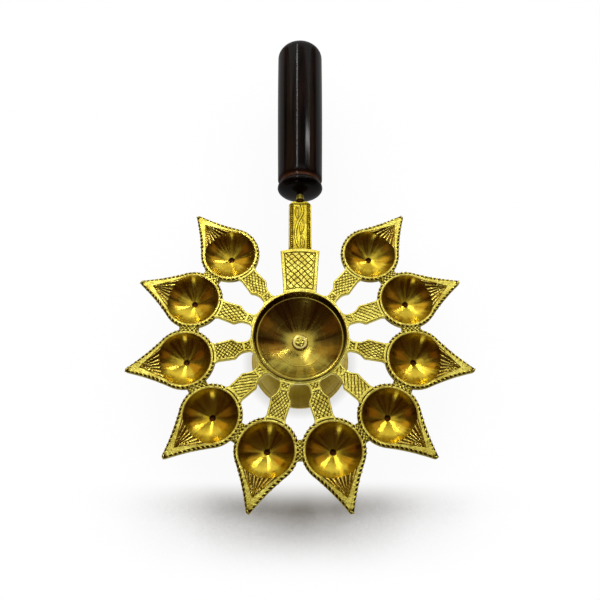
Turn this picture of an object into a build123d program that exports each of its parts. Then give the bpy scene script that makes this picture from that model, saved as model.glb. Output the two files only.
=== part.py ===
from build123d import *
import os
from math import cos, radians, sin, sqrt

# Aarti lamp: cast brass leaf cups on arms round a turned bowl, on a flared foot, with a wooden handle.
# Millimetres and degrees. The foot stands on Z = 0 with the lamp's axis on Z; the handle points along +Y.

os.makedirs("parts", exist_ok=True)

# Fits
braze_gap = 0.05  # film of braze between joined castings
rivet_clearance = 0.05
handle_clearance = 0.05  # tang in the wood

# Wheel
leaf_count = 10
handle_gap_angle = 78.3  # between the first and the last leaf, where the handle passes
wheel_top = 46.0  # top face of the castings above the table
leaf_gap = 0.73  # between neighbouring leaves, filled by a link

# Leaf cups
cup_radius = 13.2
cup_rim_width = 2.0
cup_depth = 8.0
cup_knee_radius = 6.6  # where the wall turns into the shallow floor
cup_knee_depth = 6.0
cup_wall_bulge = 0.75
cup_belly_bulge = 0.6
cup_belly_inset = 0.4  # of the belly's edge from the edge of the leaf's flat underside
cup_base_radius = 4.0
cup_base_thickness = 1.3
pilot_radius = 1.3  # centre mark of the turning tool
pilot_depth = 0.9
leaf_rim_height = 3.4
leaf_rim_chamfer = 0.6
leaf_point = 13.8  # how far the tip stands out from the round of the leaf
leaf_nose_radius = 1.1
leaf_flank_radius = 110.0  # slight hollow of the leaf's sides
spout_half_angle = 38.0  # mouth of the spout on the cup's edge
spout_tip_margin = 7.0  # solid metal between the spout's end and the tip
spout_mouth_depth = 2.0
spout_end_depth = 0.4
spout_rib_count = 6
spout_rib_width = 0.9
spout_rib_height = 0.7
spout_rib_stop = 2.8  # short of the spout's end

# Hub ring and arms
hub_wall = 1.4
hub_height = 3.2
arm_thickness = 3.0
arm_neck_width = 5.2
arm_root_fillet = 2.2
arm_neck_length = 4.6
arm_shoulder_reach = 4.4  # from the end of the neck to the shoulder
arm_shoulder_width = 10.2
arm_shoulder_fillet = 1.2
arm_leaf_width = 9.4
arm_border = 1.2
arm_panel_depth = 0.5
arm_bridge = 1.2  # plain band across the neck between the two engraved panels
link_length = 10.0
link_width = 2.6
link_height = 2.4

# Bowl
bowl_seat_radius = 22.9  # outside of the collar, inside the hub ring
bowl_lip_overhang = 0.5
bowl_lip_height = 1.0
bowl_collar_wall = 1.1
bowl_collar_flare = 1.0
bowl_collar_depth = 3.0
bowl_ledge = 0.4
bowl_floor_depth = 12.0  # below the top of the castings
bowl_floor_radius = 4.5
bowl_dish_bulge = 1.0  # how far the dish is hollowed below a straight cone
bowl_wall = 1.4

# Foot
foot_radius = 27.0
foot_rim_width = 2.0
foot_rim_height = 2.4
foot_step = 0.8
foot_wall = 1.8
foot_stem_radius = 8.2
foot_pad_radius = 10.0
foot_pad_flare = 4.0
foot_web = 3.2

# Centre rivet and washers
rivet_radius = 2.0
rivet_head_radius = 3.6
rivet_head_height = 1.8
bowl_washer_radius = 4.15
bowl_washer_height = 1.3
bowl_washer_fillet = 0.5
foot_washer_radius = 5.0
foot_washer_height = 1.0

# Handle bracket
plate_root_width = 16.8
plate_end_width = 20.3
plate_length = 22.0  # from the hub ring to the corners of the far end
plate_arch = 1.5
plate_thickness = 2.2
plate_border = 1.8
plate_panel_depth = 0.5
bar_width = 12.0
bar_reach = 28.8  # from the crown of the plate to the bar's end
bar_lap = 12.0
bar_drop = 1.0  # bar's top below the plate's top
bar_thickness = 3.6
bar_chamfer = 1.8
bar_border = 1.1
bar_field_depth = 0.35
tang_radius = 2.1
tang_spigot_radius = 1.2  # turned-down end brazed into the bar
tang_socket = 9.0
tang_neck = 4.8
tang_hold = 48.0  # length inside the wood
tang_point = 0.6

# Wooden handle
handle_length = 100.6
handle_bead_radius = 12.3
handle_bead_length = 4.4  # from the domed end to the bead's crest
handle_bead_back = 2.3
handle_groove_radius = 11.1
handle_groove_width = 1.9
handle_near_radius = 12.2
handle_groove_slope = 0.6
handle_far_radius = 13.1
handle_end_radius = 7.5
handle_end_round = 6.0
handle_bore_bottom = 2.0  # free depth beyond the tang

# Derived places
leaf_pitch = (360 - handle_gap_angle) / (leaf_count - 1)
leaf_angles = [90 + handle_gap_angle / 2 + leaf_pitch * index for index in range(leaf_count)]
leaf_radius = cup_radius + cup_rim_width
leaf_reach = leaf_radius + leaf_point
leaf_ring_radius = (leaf_radius + leaf_gap / 2) / sin(radians(leaf_pitch / 2))
hub_bore = bowl_seat_radius + braze_gap
hub_radius = hub_bore + hub_wall
arm_start = hub_radius + braze_gap
arm_seat = leaf_ring_radius - leaf_radius - braze_gap
link_centre = leaf_ring_radius * cos(radians(leaf_pitch / 2))
collar_inner = bowl_seat_radius - bowl_collar_wall
dish_run = collar_inner - bowl_ledge - bowl_floor_radius
dish_depth = bowl_floor_depth - bowl_collar_depth
dish_chord = sqrt(dish_run**2 + dish_depth**2)
bowl_curve = (dish_chord**2 / 4 + bowl_dish_bulge**2) / (2 * bowl_dish_bulge)
curve_rise = (bowl_curve - bowl_dish_bulge) / dish_chord
bowl_curve_radius = bowl_floor_radius + dish_run / 2 - curve_rise * dish_depth
bowl_curve_height = wheel_top - bowl_floor_depth + dish_depth / 2 + curve_rise * dish_run
bowl_under = wheel_top - bowl_floor_depth - bowl_wall
foot_top = bowl_under - braze_gap
rivet_hole = rivet_radius + rivet_clearance
plate_corner = hub_radius + plate_length
plate_crown = plate_corner + plate_arch
bar_end = plate_crown + bar_reach
handle_axis_height = wheel_top - bar_drop - bar_thickness / 2
handle_start = bar_end + tang_neck
handle_end = handle_start + handle_length

wheel_plane = Plane.XY.offset(wheel_top)
handle_plane = Plane(origin=(0, 0, wheel_top), x_dir=(0, 1, 0), z_dir=(0, 0, 1))
turning_plane = Plane(origin=(0, 0, handle_axis_height), x_dir=(0, 1, 0), z_dir=(1, 0, 0))
handle_axis = Axis((0, 0, handle_axis_height), (0, 1, 0))


def save(part, name):
    part.label = name
    export_step(part, f"parts/{name}.step")


# Leaf pattern, with its cup's centre on the origin, its tip along +X and its top face on Z = 0
nose_centre = Vector(leaf_reach - leaf_nose_radius, 0)
flank_to_cup = leaf_flank_radius + leaf_radius
flank_to_nose = leaf_flank_radius + leaf_nose_radius
flank_x = (nose_centre.X**2 + flank_to_cup**2 - flank_to_nose**2) / (2 * nose_centre.X)
flank_centre = Vector(flank_x, sqrt(flank_to_cup**2 - flank_x**2))
flank_start = flank_centre.normalized() * leaf_radius
flank_end = nose_centre + (flank_centre - nose_centre).normalized() * leaf_nose_radius
spout_mouth = cup_radius * cos(radians(spout_half_angle))
spout_half_width = cup_radius * sin(radians(spout_half_angle))
spout_end = leaf_reach - spout_tip_margin
spout_inside = cup_knee_radius * cos(radians(spout_half_angle))
spout_inside_half = cup_knee_radius * sin(radians(spout_half_angle))
spout_fall = Vector(spout_end - spout_mouth, 0, spout_mouth_depth - spout_end_depth)
spout_floor = Plane(
    origin=(spout_mouth, 0, -spout_mouth_depth),
    x_dir=spout_fall,
    z_dir=Vector(-spout_fall.Z, 0, spout_fall.X),
)

# The spout's sloping hollow, as a wedge to cut away
with BuildPart() as spout:
    with BuildSketch():
        Polygon(
            (spout_inside, spout_inside_half),
            (spout_mouth, spout_half_width),
            (spout_end, 0),
            (spout_mouth, -spout_half_width),
            (spout_inside, -spout_inside_half),
            align=None,
        )
    extrude(amount=-leaf_rim_height)
    split(bisect_by=spout_floor, keep=Keep.TOP)

# Ribs that run along the spout towards its end
rib_spread = (spout_end - spout_inside) / (spout_end - spout_mouth)
rib_taper = spout_rib_stop / (spout_end - spout_mouth)
with BuildPart() as spout_ribs:
    with BuildSketch():
        for index in range(spout_rib_count):
            middle = spout_half_width * ((2 * index + 1) / spout_rib_count - 1)
            low = middle - spout_rib_width / 2
            high = middle + spout_rib_width / 2
            Polygon(
                (spout_inside, low * rib_spread),
                (spout_end - spout_rib_stop, low * rib_taper),
                (spout_end - spout_rib_stop, high * rib_taper),
                (spout_inside, high * rib_spread),
                align=None,
            )
    extrude(amount=-leaf_rim_height)
    split(bisect_by=spout_floor.offset(spout_rib_height), keep=Keep.BOTTOM)

with BuildPart() as leaf_pattern:
    with BuildSketch():
        with BuildLine():
            ThreePointArc((-leaf_radius, 0), (0, leaf_radius), flank_start)
            RadiusArc(flank_start, flank_end, -leaf_flank_radius)
            ThreePointArc(flank_end, (leaf_reach, 0), (flank_end.X, -flank_end.Y))
            RadiusArc((flank_end.X, -flank_end.Y), (flank_start.X, -flank_start.Y), -leaf_flank_radius)
            ThreePointArc((flank_start.X, -flank_start.Y), (0, -leaf_radius), (-leaf_radius, 0))
        make_face()
    extrude(amount=-leaf_rim_height)
    chamfer(leaf_pattern.faces().sort_by(Axis.Z)[0].edges(), length=leaf_rim_chamfer)
    belly_edge = (leaf_radius - leaf_rim_chamfer - cup_belly_inset, -leaf_rim_height)
    belly_base = (cup_base_radius, -cup_depth - pilot_depth - cup_base_thickness)
    with BuildSketch(Plane.XZ):
        with BuildLine():
            Polyline((0, belly_base[1]), (0, 0), (cup_radius, 0), (belly_edge[0], belly_edge[1]))
            SagittaArc(belly_edge, belly_base, cup_belly_bulge)
            Line(belly_base, (0, belly_base[1]))
        make_face()
    revolve(axis=Axis.Z)
    add(spout.part, mode=Mode.SUBTRACT)
    add(spout_ribs.part)
    with BuildSketch(Plane.XZ):
        with BuildLine():
            SagittaArc((cup_radius, 0), (cup_knee_radius, -cup_knee_depth), cup_wall_bulge)
            Polyline(
                (cup_knee_radius, -cup_knee_depth),
                (pilot_radius, -cup_depth),
                (pilot_radius, -cup_depth - pilot_depth),
                (0, -cup_depth - pilot_depth),
                (0, 0),
                (cup_radius, 0),
            )
        make_face()
    revolve(axis=Axis.Z, mode=Mode.SUBTRACT)

for number, angle in enumerate(leaf_angles, 1):
    with BuildPart() as leaf_cup:
        with Locations(wheel_plane * Rot(0, 0, angle) * Pos(leaf_ring_radius, 0, 0)):
            add(leaf_pattern.part)
    save(leaf_cup.part, f"leaf_cup_{number:02d}")

# Arm pattern, along +X from the hub ring to the round of a leaf, with its top face on Z = 0
neck_end = arm_start + arm_neck_length
shoulder = neck_end + arm_shoulder_reach
with BuildSketch() as arm_outline:
    with BuildLine():
        root = (arm_start, arm_neck_width / 2 + arm_root_fillet)
        Line((0, 0), (0, root[1]))
        Line((0, root[1]), root)
        RadiusArc(root, (arm_start + arm_root_fillet, arm_neck_width / 2), -arm_root_fillet)
        Line((arm_start + arm_root_fillet, arm_neck_width / 2), (neck_end, arm_neck_width / 2))
        TangentArc((neck_end, arm_neck_width / 2), (shoulder, arm_shoulder_width / 2), tangent=(1, 0))
        Line((shoulder, arm_shoulder_width / 2), (leaf_ring_radius, arm_leaf_width / 2))
        Line((leaf_ring_radius, arm_leaf_width / 2), (leaf_ring_radius, 0))
        mirror(about=Plane.XZ)
    make_face()
    fillet(arm_outline.vertices().filter_by_position(Axis.X, shoulder, shoulder), radius=arm_shoulder_fillet)
    Circle(arm_start, mode=Mode.SUBTRACT)
    with Locations((leaf_ring_radius, 0)):
        Circle(leaf_radius + braze_gap, mode=Mode.SUBTRACT)

with BuildPart() as arm_pattern:
    add(arm_outline.sketch)
    extrude(amount=-arm_thickness)
    with BuildSketch():
        add(arm_outline.sketch)
        offset(amount=-arm_border, mode=Mode.REPLACE)
        with Locations((neck_end - arm_bridge / 2, 0)):
            Rectangle(arm_bridge, arm_neck_width, mode=Mode.SUBTRACT)
    extrude(amount=-arm_panel_depth, mode=Mode.SUBTRACT)

for number, angle in enumerate(leaf_angles, 1):
    with BuildPart() as arm:
        with Locations(wheel_plane * Rot(0, 0, angle)):
            add(arm_pattern.part)
    save(arm.part, f"arm_{number:02d}")

# Link pattern, the small web brazed between two neighbouring leaves
with BuildPart() as link_pattern:
    with BuildSketch():
        with Locations((link_centre, 0)):
            Rectangle(link_length, link_width)
        for side in (-leaf_pitch / 2, leaf_pitch / 2):
            with Locations(Rot(0, 0, side) * Pos(leaf_ring_radius, 0)):
                Circle(leaf_radius + braze_gap, mode=Mode.SUBTRACT)
    extrude(amount=-link_height)

for number, angle in enumerate(leaf_angles[:-1], 1):
    with BuildPart() as link:
        with Locations(wheel_plane * Rot(0, 0, angle + leaf_pitch / 2)):
            add(link_pattern.part)
    save(link.part, f"leaf_link_{number:02d}")

with BuildPart() as hub_ring:
    with BuildSketch(wheel_plane):
        Circle(hub_radius)
        Circle(hub_bore, mode=Mode.SUBTRACT)
    extrude(amount=-hub_height)
save(hub_ring.part, "hub_ring")

# Turned bowl, hung in the hub ring by its lip
lip_top = wheel_top + bowl_lip_height
ledge_height = wheel_top - bowl_collar_depth
under_curve = bowl_curve + bowl_wall
under_radius = bowl_curve_radius + sqrt(under_curve**2 - (bowl_curve_height - bowl_under) ** 2)
seat_foot = bowl_curve_height - sqrt(under_curve**2 - (bowl_seat_radius - bowl_curve_radius) ** 2)
with BuildPart() as central_bowl:
    with BuildSketch(Plane.XZ):
        with BuildLine():
            Polyline(
                (rivet_hole, bowl_under),
                (rivet_hole, wheel_top - bowl_floor_depth),
                (bowl_floor_radius, wheel_top - bowl_floor_depth),
            )
            RadiusArc(
                (bowl_floor_radius, wheel_top - bowl_floor_depth),
                (collar_inner - bowl_ledge, ledge_height),
                -bowl_curve,
            )
            Polyline(
                (collar_inner - bowl_ledge, ledge_height),
                (collar_inner, ledge_height),
                (collar_inner + bowl_collar_flare, lip_top),
                (bowl_seat_radius + bowl_lip_overhang, lip_top),
                (bowl_seat_radius + bowl_lip_overhang, wheel_top + braze_gap),
                (bowl_seat_radius, wheel_top + braze_gap),
                (bowl_seat_radius, seat_foot),
            )
            RadiusArc((bowl_seat_radius, seat_foot), (under_radius, bowl_under), under_curve)
            Line((under_radius, bowl_under), (rivet_hole, bowl_under))
        make_face()
    revolve(axis=Axis.Z)
save(central_bowl.part, "central_bowl")

# Flared foot, hollow below, its pad turned to the bowl's curve
flare_start = foot_rim_height + foot_step
flare_radius = foot_radius - foot_rim_width - foot_stem_radius
flare_top = flare_start + flare_radius
pad_curve = under_curve + braze_gap
pad_start = bowl_curve_radius + sqrt(pad_curve**2 - (bowl_curve_height - foot_top) ** 2)
pad_edge = bowl_curve_height - sqrt(pad_curve**2 - (foot_pad_radius - bowl_curve_radius) ** 2)
hollow_top = foot_top - foot_web
hollow_radius = foot_stem_radius - foot_wall
hollow_start = flare_start - foot_wall
with BuildPart() as foot:
    with BuildSketch(Plane.XZ):
        with BuildLine():
            Polyline(
                (foot_radius - foot_rim_width, hollow_start),
                (foot_radius - foot_rim_width, 0),
                (foot_radius, 0),
                (foot_radius, foot_rim_height),
                (foot_radius - foot_rim_width, foot_rim_height),
                (foot_radius - foot_rim_width, flare_start),
            )
            RadiusArc(
                (foot_radius - foot_rim_width, flare_start),
                (foot_stem_radius, flare_top),
                flare_radius,
            )
            Line((foot_stem_radius, flare_top), (foot_stem_radius, pad_edge - foot_pad_flare))
            Line((foot_stem_radius, pad_edge - foot_pad_flare), (foot_pad_radius, pad_edge))
            RadiusArc((foot_pad_radius, pad_edge), (pad_start, foot_top), pad_curve)
            Polyline(
                (pad_start, foot_top),
                (rivet_hole, foot_top),
                (rivet_hole, hollow_top),
                (hollow_radius, hollow_top),
                (hollow_radius, flare_top),
            )
            RadiusArc(
                (hollow_radius, flare_top),
                (foot_radius - foot_rim_width, hollow_start),
                -flare_radius - foot_wall,
            )
        make_face()
    revolve(axis=Axis.Z)
save(foot.part, "foot")

# Centre rivet, headed inside the foot and peened over the washer in the bowl
bowl_floor = wheel_top - bowl_floor_depth
head_top = hollow_top - foot_washer_height
with BuildPart() as centre_rivet:
    with BuildSketch(Plane.XY.offset(head_top)):
        Circle(rivet_radius)
    extrude(amount=bowl_floor + bowl_washer_height - head_top)
    with BuildSketch(Plane.XY.offset(head_top)):
        Circle(rivet_head_radius)
    extrude(amount=-rivet_head_height)
    fillet(centre_rivet.faces().sort_by(Axis.Z)[0].edges(), radius=rivet_head_height / 2)
save(centre_rivet.part, "centre_rivet")

with BuildPart() as bowl_washer:
    with BuildSketch(Plane.XY.offset(bowl_floor)):
        Circle(bowl_washer_radius)
        Circle(rivet_hole, mode=Mode.SUBTRACT)
    extrude(amount=bowl_washer_height)
    washer_top = bowl_washer.faces().sort_by(Axis.Z)[-1]
    fillet(washer_top.edges().sort_by(SortBy.RADIUS)[-1], radius=bowl_washer_fillet)
save(bowl_washer.part, "bowl_washer")

with BuildPart() as foot_washer:
    with BuildSketch(Plane.XY.offset(hollow_top)):
        Circle(foot_washer_radius)
        Circle(rivet_hole, mode=Mode.SUBTRACT)
    extrude(amount=-foot_washer_height)
save(foot_washer.part, "foot_washer")

# Handle plate, tapering towards the hub and arched at its far end
with BuildSketch(handle_plane) as plate_outline:
    with BuildLine():
        Line((0, 0), (0, plate_root_width / 2))
        Line((0, plate_root_width / 2), (hub_radius, plate_root_width / 2))
        Line((hub_radius, plate_root_width / 2), (plate_corner, plate_end_width / 2))
        SagittaArc((plate_corner, plate_end_width / 2), (plate_corner, -plate_end_width / 2), plate_arch)
        Line((plate_corner, -plate_end_width / 2), (hub_radius, -plate_root_width / 2))
        Line((hub_radius, -plate_root_width / 2), (0, -plate_root_width / 2))
        Line((0, -plate_root_width / 2), (0, 0))
    make_face()
    Circle(hub_radius + braze_gap, mode=Mode.SUBTRACT)

with BuildPart() as handle_plate:
    add(plate_outline.sketch)
    extrude(amount=-plate_thickness)
    with BuildSketch(handle_plane):
        add(plate_outline.sketch_local)
        offset(amount=-plate_border, mode=Mode.REPLACE)
    extrude(amount=-plate_panel_depth, mode=Mode.SUBTRACT)
save(handle_plate.part, "handle_plate")

# Handle bar, rebated under the plate and drilled for the tang
bar_start = plate_corner - bar_lap
bar_middle = (bar_start + bar_end) / 2
field_start = plate_crown + bar_border
field_length = bar_end - bar_chamfer - bar_border - field_start
with BuildPart() as handle_bar:
    with BuildSketch(handle_plane.offset(-bar_drop)):
        with Locations((bar_middle, 0)):
            Rectangle(bar_end - bar_start, bar_width)
    extrude(amount=-bar_thickness)
    chamfer(handle_bar.edges().filter_by(Axis.Z).group_by(Axis.Y)[-1], length=bar_chamfer)
    with BuildSketch(handle_plane):
        add(plate_outline.sketch_local)
        offset(amount=braze_gap)
    extrude(amount=-plate_thickness - braze_gap, mode=Mode.SUBTRACT)
    with BuildSketch(handle_plane.offset(-bar_drop)):
        with Locations((field_start + field_length / 2, 0)):
            Rectangle(field_length, bar_width - 2 * bar_border)
    extrude(amount=-bar_field_depth, mode=Mode.SUBTRACT)
    with BuildSketch(Plane(origin=(0, bar_end, handle_axis_height), z_dir=(0, 1, 0))):
        Circle(tang_spigot_radius + braze_gap)
    extrude(amount=-tang_socket, mode=Mode.SUBTRACT)
save(handle_bar.part, "handle_bar")

with BuildPart() as tang:
    with BuildSketch(Plane(origin=(0, bar_end, handle_axis_height), z_dir=(0, 1, 0))):
        Circle(tang_radius)
    extrude(amount=tang_neck + tang_hold)
    chamfer(tang.faces().sort_by(Axis.Y)[-1].edges(), length=tang_point)
    with BuildSketch(Plane(origin=(0, bar_end, handle_axis_height), z_dir=(0, 1, 0))):
        Circle(tang_spigot_radius)
    extrude(amount=-tang_socket)
save(tang.part, "tang")

# Turned wooden handle, bored for the tang
bead_crest = handle_start + handle_bead_length
groove_start = bead_crest + handle_bead_back
groove_end = groove_start + handle_groove_width
barrel_start = groove_end + handle_groove_slope
barrel_end = handle_end - handle_end_round
with BuildPart() as wooden_handle:
    with BuildSketch(turning_plane):
        with BuildLine():
            EllipticalCenterArc((bead_crest, 0), handle_bead_length, handle_bead_radius, start_angle=90)
            TangentArc(
                (bead_crest, handle_bead_radius),
                (groove_start, handle_groove_radius),
                tangent=(1, 0),
            )
            Polyline(
                (groove_start, handle_groove_radius),
                (groove_end, handle_groove_radius),
                (barrel_start, handle_near_radius),
                (barrel_end, handle_far_radius),
            )
            TangentArc((barrel_end, handle_far_radius), (handle_end, handle_end_radius), tangent=(1, 0))
            Polyline((handle_end, handle_end_radius), (handle_end, 0), (handle_start, 0))
        make_face()
    revolve(axis=handle_axis)
    with BuildSketch(Plane(origin=(0, handle_start, handle_axis_height), z_dir=(0, 1, 0))):
        Circle(tang_radius + handle_clearance)
    extrude(amount=tang_hold + handle_bore_bottom, mode=Mode.SUBTRACT)
save(wooden_handle.part, "wooden_handle")
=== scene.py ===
from math import acos, asin, atan2, cos, pi, radians, sin, sqrt

import bmesh
import bpy
import numpy as np
from mathutils import Matrix, Vector


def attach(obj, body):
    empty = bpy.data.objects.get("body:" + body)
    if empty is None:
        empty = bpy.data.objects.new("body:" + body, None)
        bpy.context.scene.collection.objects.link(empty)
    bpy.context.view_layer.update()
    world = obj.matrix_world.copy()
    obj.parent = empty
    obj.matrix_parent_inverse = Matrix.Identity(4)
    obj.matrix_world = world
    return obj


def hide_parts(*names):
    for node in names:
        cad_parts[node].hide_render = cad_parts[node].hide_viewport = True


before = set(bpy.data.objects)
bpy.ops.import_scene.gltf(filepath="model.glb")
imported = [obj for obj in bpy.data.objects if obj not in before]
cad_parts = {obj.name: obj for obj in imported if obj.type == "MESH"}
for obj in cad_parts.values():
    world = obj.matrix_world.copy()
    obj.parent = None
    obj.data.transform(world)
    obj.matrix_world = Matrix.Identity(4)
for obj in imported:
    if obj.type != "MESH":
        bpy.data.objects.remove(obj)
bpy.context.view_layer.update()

# Aarti lamp: ten cast brass leaf cups round a turned bowl, on a flared foot, with a rosewood handle.
# Sizes are in millimetres, and angles in degrees where they aren't turned into radians at once.
# Meshes, finishes, lights and the camera are in metres.
MM = 0.001

# Wheel of leaf cups
leaf_count = 10
handle_gap_angle = 78.3
wheel_top = 46.0
leaf_gap = 0.73
cup_radius = 13.2
cup_rim_width = 2.0
cup_depth = 8.0
cup_knee_radius = 6.6
cup_knee_depth = 6.0
cup_wall_bulge = 0.75
cup_floor_slope = 0.24
cup_brink_depth = 0.22
cup_belly_radius = 14.2
cup_belly_bulge = 0.6
cup_base_radius = 4.0
cup_base_thickness = 1.3
pilot_radius = 1.3
pilot_depth = 0.9
leaf_rim_height = 3.4
leaf_point = 13.8
leaf_nose_radius = 1.1
leaf_flank_radius = 110.0
spout_half_angle = radians(38.0)
spout_tip_margin = 7.0
spout_edge_depth = 0.3
spout_rib_count = 7
spout_rib_height = 0.6
spout_side_slope = 0.34
spout_side_share = 0.62
rope_inset = 0.85
rope_pitch = 2.15
rope_drop = 0.4
rope_lobe = (1.5, 0.46, 0.5)
rope_lean = -46
rope_dip = 6

# Hub ring and arms
hub_bore = 22.95
hub_radius = 24.35
hub_height = 3.2
arm_thickness = 3.0
arm_neck_width = 5.2
arm_root_fillet = 2.2
arm_neck_length = 4.6
arm_shoulder_reach = 4.4
arm_shoulder_width = 10.2
arm_leaf_width = 9.4
arm_border = 1.0
arm_panel_depth = 0.25
arm_cut_width = 0.46
arm_cut_depth = 0.3
arm_cut_wander = 1.0
link_length = 10.0
link_height = 2.4
link_cut_pitch = 1.9
link_cut_slope = 1.1

# Bowl, rivet and foot
bowl_seat_radius = 22.9
bowl_collar_wall = 1.1
bowl_collar_depth = 3.0
bowl_ledge = 0.4
bowl_lip_height = 1.0
bowl_floor_depth = 12.0
bowl_floor_radius = 4.5
bowl_dish_bulge = 1.0
bowl_wall = 1.4
bowl_floor_round = 1.0
bowl_edge_round = 0.3
bowl_line_radii = (13.2, 19.6)
bowl_line_depth = 0.04
bowl_line_width = 0.2
rivet_radius = 2.0
washer_radius = 4.15
washer_height = 1.3
rivet_head_radius = 3.6
rivet_head_height = 1.8
foot_washer_radius = 5.0
foot_washer_height = 1.0
foot_radius = 27.0
foot_rim_width = 2.0
foot_rim_height = 2.4
foot_step = 0.8
foot_wall = 1.8
foot_stem_radius = 8.2
foot_pad_radius = 10.0
foot_pad_flare = 4.0
foot_web = 3.2

# Handle bracket and handle
plate_root_width = 16.8
plate_end_width = 20.3
plate_length = 22.0
plate_arch = 1.5
plate_thickness = 2.2
plate_border = 1.8
lattice_pitch = 2.4
lattice_cut_width = 0.54
lattice_cut_depth = 0.35
lattice_cut_wander = 1.2
lattice_leans = (-43, 47)
bar_width = 12.0
bar_reach = 28.8
bar_lap = 12.0
bar_drop = 1.0
bar_thickness = 3.6
bar_chamfer = 1.8
bar_vine_inset = 2.3
bar_vine_depth = 0.3
bead_inset = 1.6
bead_sink = 0.2
bead_pitch = 1.15
bead_size = (0.5, 0.44, 0.3)
tang_radius = 2.1
tang_neck = 4.8
tang_hold = 48.0
handle_length = 100.6
handle_bead_radius = 12.3
handle_bead_length = 4.4
handle_bead_back = 2.3
handle_groove_radius = 11.1
handle_groove_width = 1.9
handle_near_radius = 12.2
handle_groove_slope = 0.6
handle_far_radius = 13.1
handle_end_radius = 7.5
handle_end_round = 6.0

# Places that follow from the sizes
leaf_pitch = (360 - handle_gap_angle) / (leaf_count - 1)
first_leaf = 90 + handle_gap_angle / 2
leaf_angles = [radians(first_leaf + leaf_pitch * index) for index in range(leaf_count)]
leaf_radius = cup_radius + cup_rim_width
leaf_reach = leaf_radius + leaf_point
leaf_ring_radius = (leaf_radius + leaf_gap / 2) / sin(radians(leaf_pitch / 2))
link_centre = leaf_ring_radius * cos(radians(leaf_pitch / 2))
plate_corner = hub_radius + plate_length
plate_crown = plate_corner + plate_arch
bar_end = plate_crown + bar_reach
handle_axis_height = wheel_top - bar_drop - bar_thickness / 2
handle_start = bar_end + tang_neck
handle_end = handle_start + handle_length


# Meshes

def skin(name, points, finish, slots=None, recess=None, extra=None):
    """A mesh over closed rings of points (rings, columns, 3).

    slots gives the finish of each band, recess how deep each point lies in a cut, extra more point values.
    """
    rings, columns, _ = points.shape
    corner = np.arange(columns)
    follow = (corner + 1) % columns
    row = np.arange(rings - 1)[:, None] * columns
    quads = np.stack([row + corner, row + follow, row + columns + follow, row + columns + corner], axis=-1)
    mesh = bpy.data.meshes.new(name)
    mesh.from_pydata((points.reshape(-1, 3) * MM).tolist(), [], quads.reshape(-1, 4).tolist())
    turn = np.empty((rings - 1, columns, 4, 2), np.float32)
    turn[..., 0] = np.stack([corner, corner + 1, corner + 1, corner], axis=-1) / columns
    band = np.arange(rings - 1)[:, None]
    turn[..., 1] = np.stack([band, band, band + 1, band + 1], axis=-1) / (rings - 1)
    mesh.uv_layers.new(name="turn").data.foreach_set("uv", turn.reshape(-1))
    values = dict(extra or {})
    values["recess"] = np.zeros(points.shape[:2]) if recess is None else recess
    for label, amounts in values.items():
        layer = mesh.attributes.new(label, "FLOAT", "POINT")
        layer.data.foreach_set("value", np.asarray(amounts, np.float32).reshape(-1))
    for material in finish:
        mesh.materials.append(material)
    if slots is not None:
        mesh.polygons.foreach_set("material_index", np.repeat(np.asarray(slots, np.int32), columns))
    clean(mesh)
    return mesh


def clean(mesh):
    """Closes seams and poles, turns the faces outwards and shades the mesh smooth up to an angle."""
    sharp_angle = 35
    work = bmesh.new()
    work.from_mesh(mesh)
    bmesh.ops.remove_doubles(work, verts=work.verts, dist=1e-7)
    bmesh.ops.dissolve_degenerate(work, edges=work.edges, dist=1e-8)
    bmesh.ops.recalc_face_normals(work, faces=work.faces)
    work.to_mesh(mesh)
    work.free()
    mesh.shade_smooth()
    mesh.set_sharp_from_angle(angle=radians(sharp_angle))


def piece(name, mesh, slot, *nodes):
    """Puts a finished mesh in the scene, in place of the named nodes."""
    body = bpy.data.objects.new(name, mesh)
    bpy.context.scene.collection.objects.link(body)
    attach(body, "root")
    if nodes:
        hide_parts(*nodes)
    return body


def turned(name, profile, finish, recess=None, columns=128, along_handle=False):
    """A turned mesh from (radius, height) pairs round the lamp's axis, or round the handle's."""
    angle = np.arange(columns) * (2 * pi / columns)
    profile = np.asarray(profile, float)
    points = np.empty((len(profile), columns, 3))
    if along_handle:
        points[..., 0] = profile[:, :1] * np.sin(angle)
        points[..., 1] = profile[:, 1:]
        points[..., 2] = handle_axis_height + profile[:, :1] * np.cos(angle)
    else:
        points[..., 0] = profile[:, :1] * np.cos(angle)
        points[..., 1] = profile[:, :1] * np.sin(angle)
        points[..., 2] = profile[:, 1:]
    if recess is not None:
        recess = np.repeat(np.asarray(recess, float)[:, None], columns, axis=1)
    return skin(name, points, [finish], None, recess)


def arc(start, end, bulge, count):
    """Points on an arc from start to end that bulges to the left of its way, both ends included."""
    start, end = np.asarray(start, float), np.asarray(end, float)
    chord = end - start
    length = np.hypot(*chord)
    left = np.array([-chord[1], chord[0]]) / length
    radius = (length**2 / 4 + bulge**2) / (2 * bulge)
    centre = (start + end) / 2 + left * (bulge - radius)
    first = atan2(*(start - centre)[::-1])
    sweep = (atan2(*(end - centre)[::-1]) - first + pi) % (2 * pi) - pi
    angle = first + sweep * np.linspace(0, 1, count)
    return centre + abs(radius) * np.stack([np.cos(angle), np.sin(angle)], axis=-1)


def swing(centre, radius, first, last, count):
    """Points on a circle from one angle to another."""
    angle = np.linspace(first, last, count)
    return np.asarray(centre) + radius * np.stack([np.cos(angle), np.sin(angle)], axis=-1)


def even(points, count):
    """A closed line with evenly spaced points."""
    points = np.vstack([points, points[:1]])
    way = np.concatenate([[0], np.cumsum(np.hypot(*np.diff(points, axis=0).T))])
    stops = np.linspace(0, way[-1], count, endpoint=False)
    return np.stack([np.interp(stops, way, points[:, k]) for k in (0, 1)], axis=-1)


def step(value, low, high):
    """A soft step from 0 to 1."""
    share = np.clip((value - low) / (high - low), 0, 1)
    return share * share * (3 - 2 * share)


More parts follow.
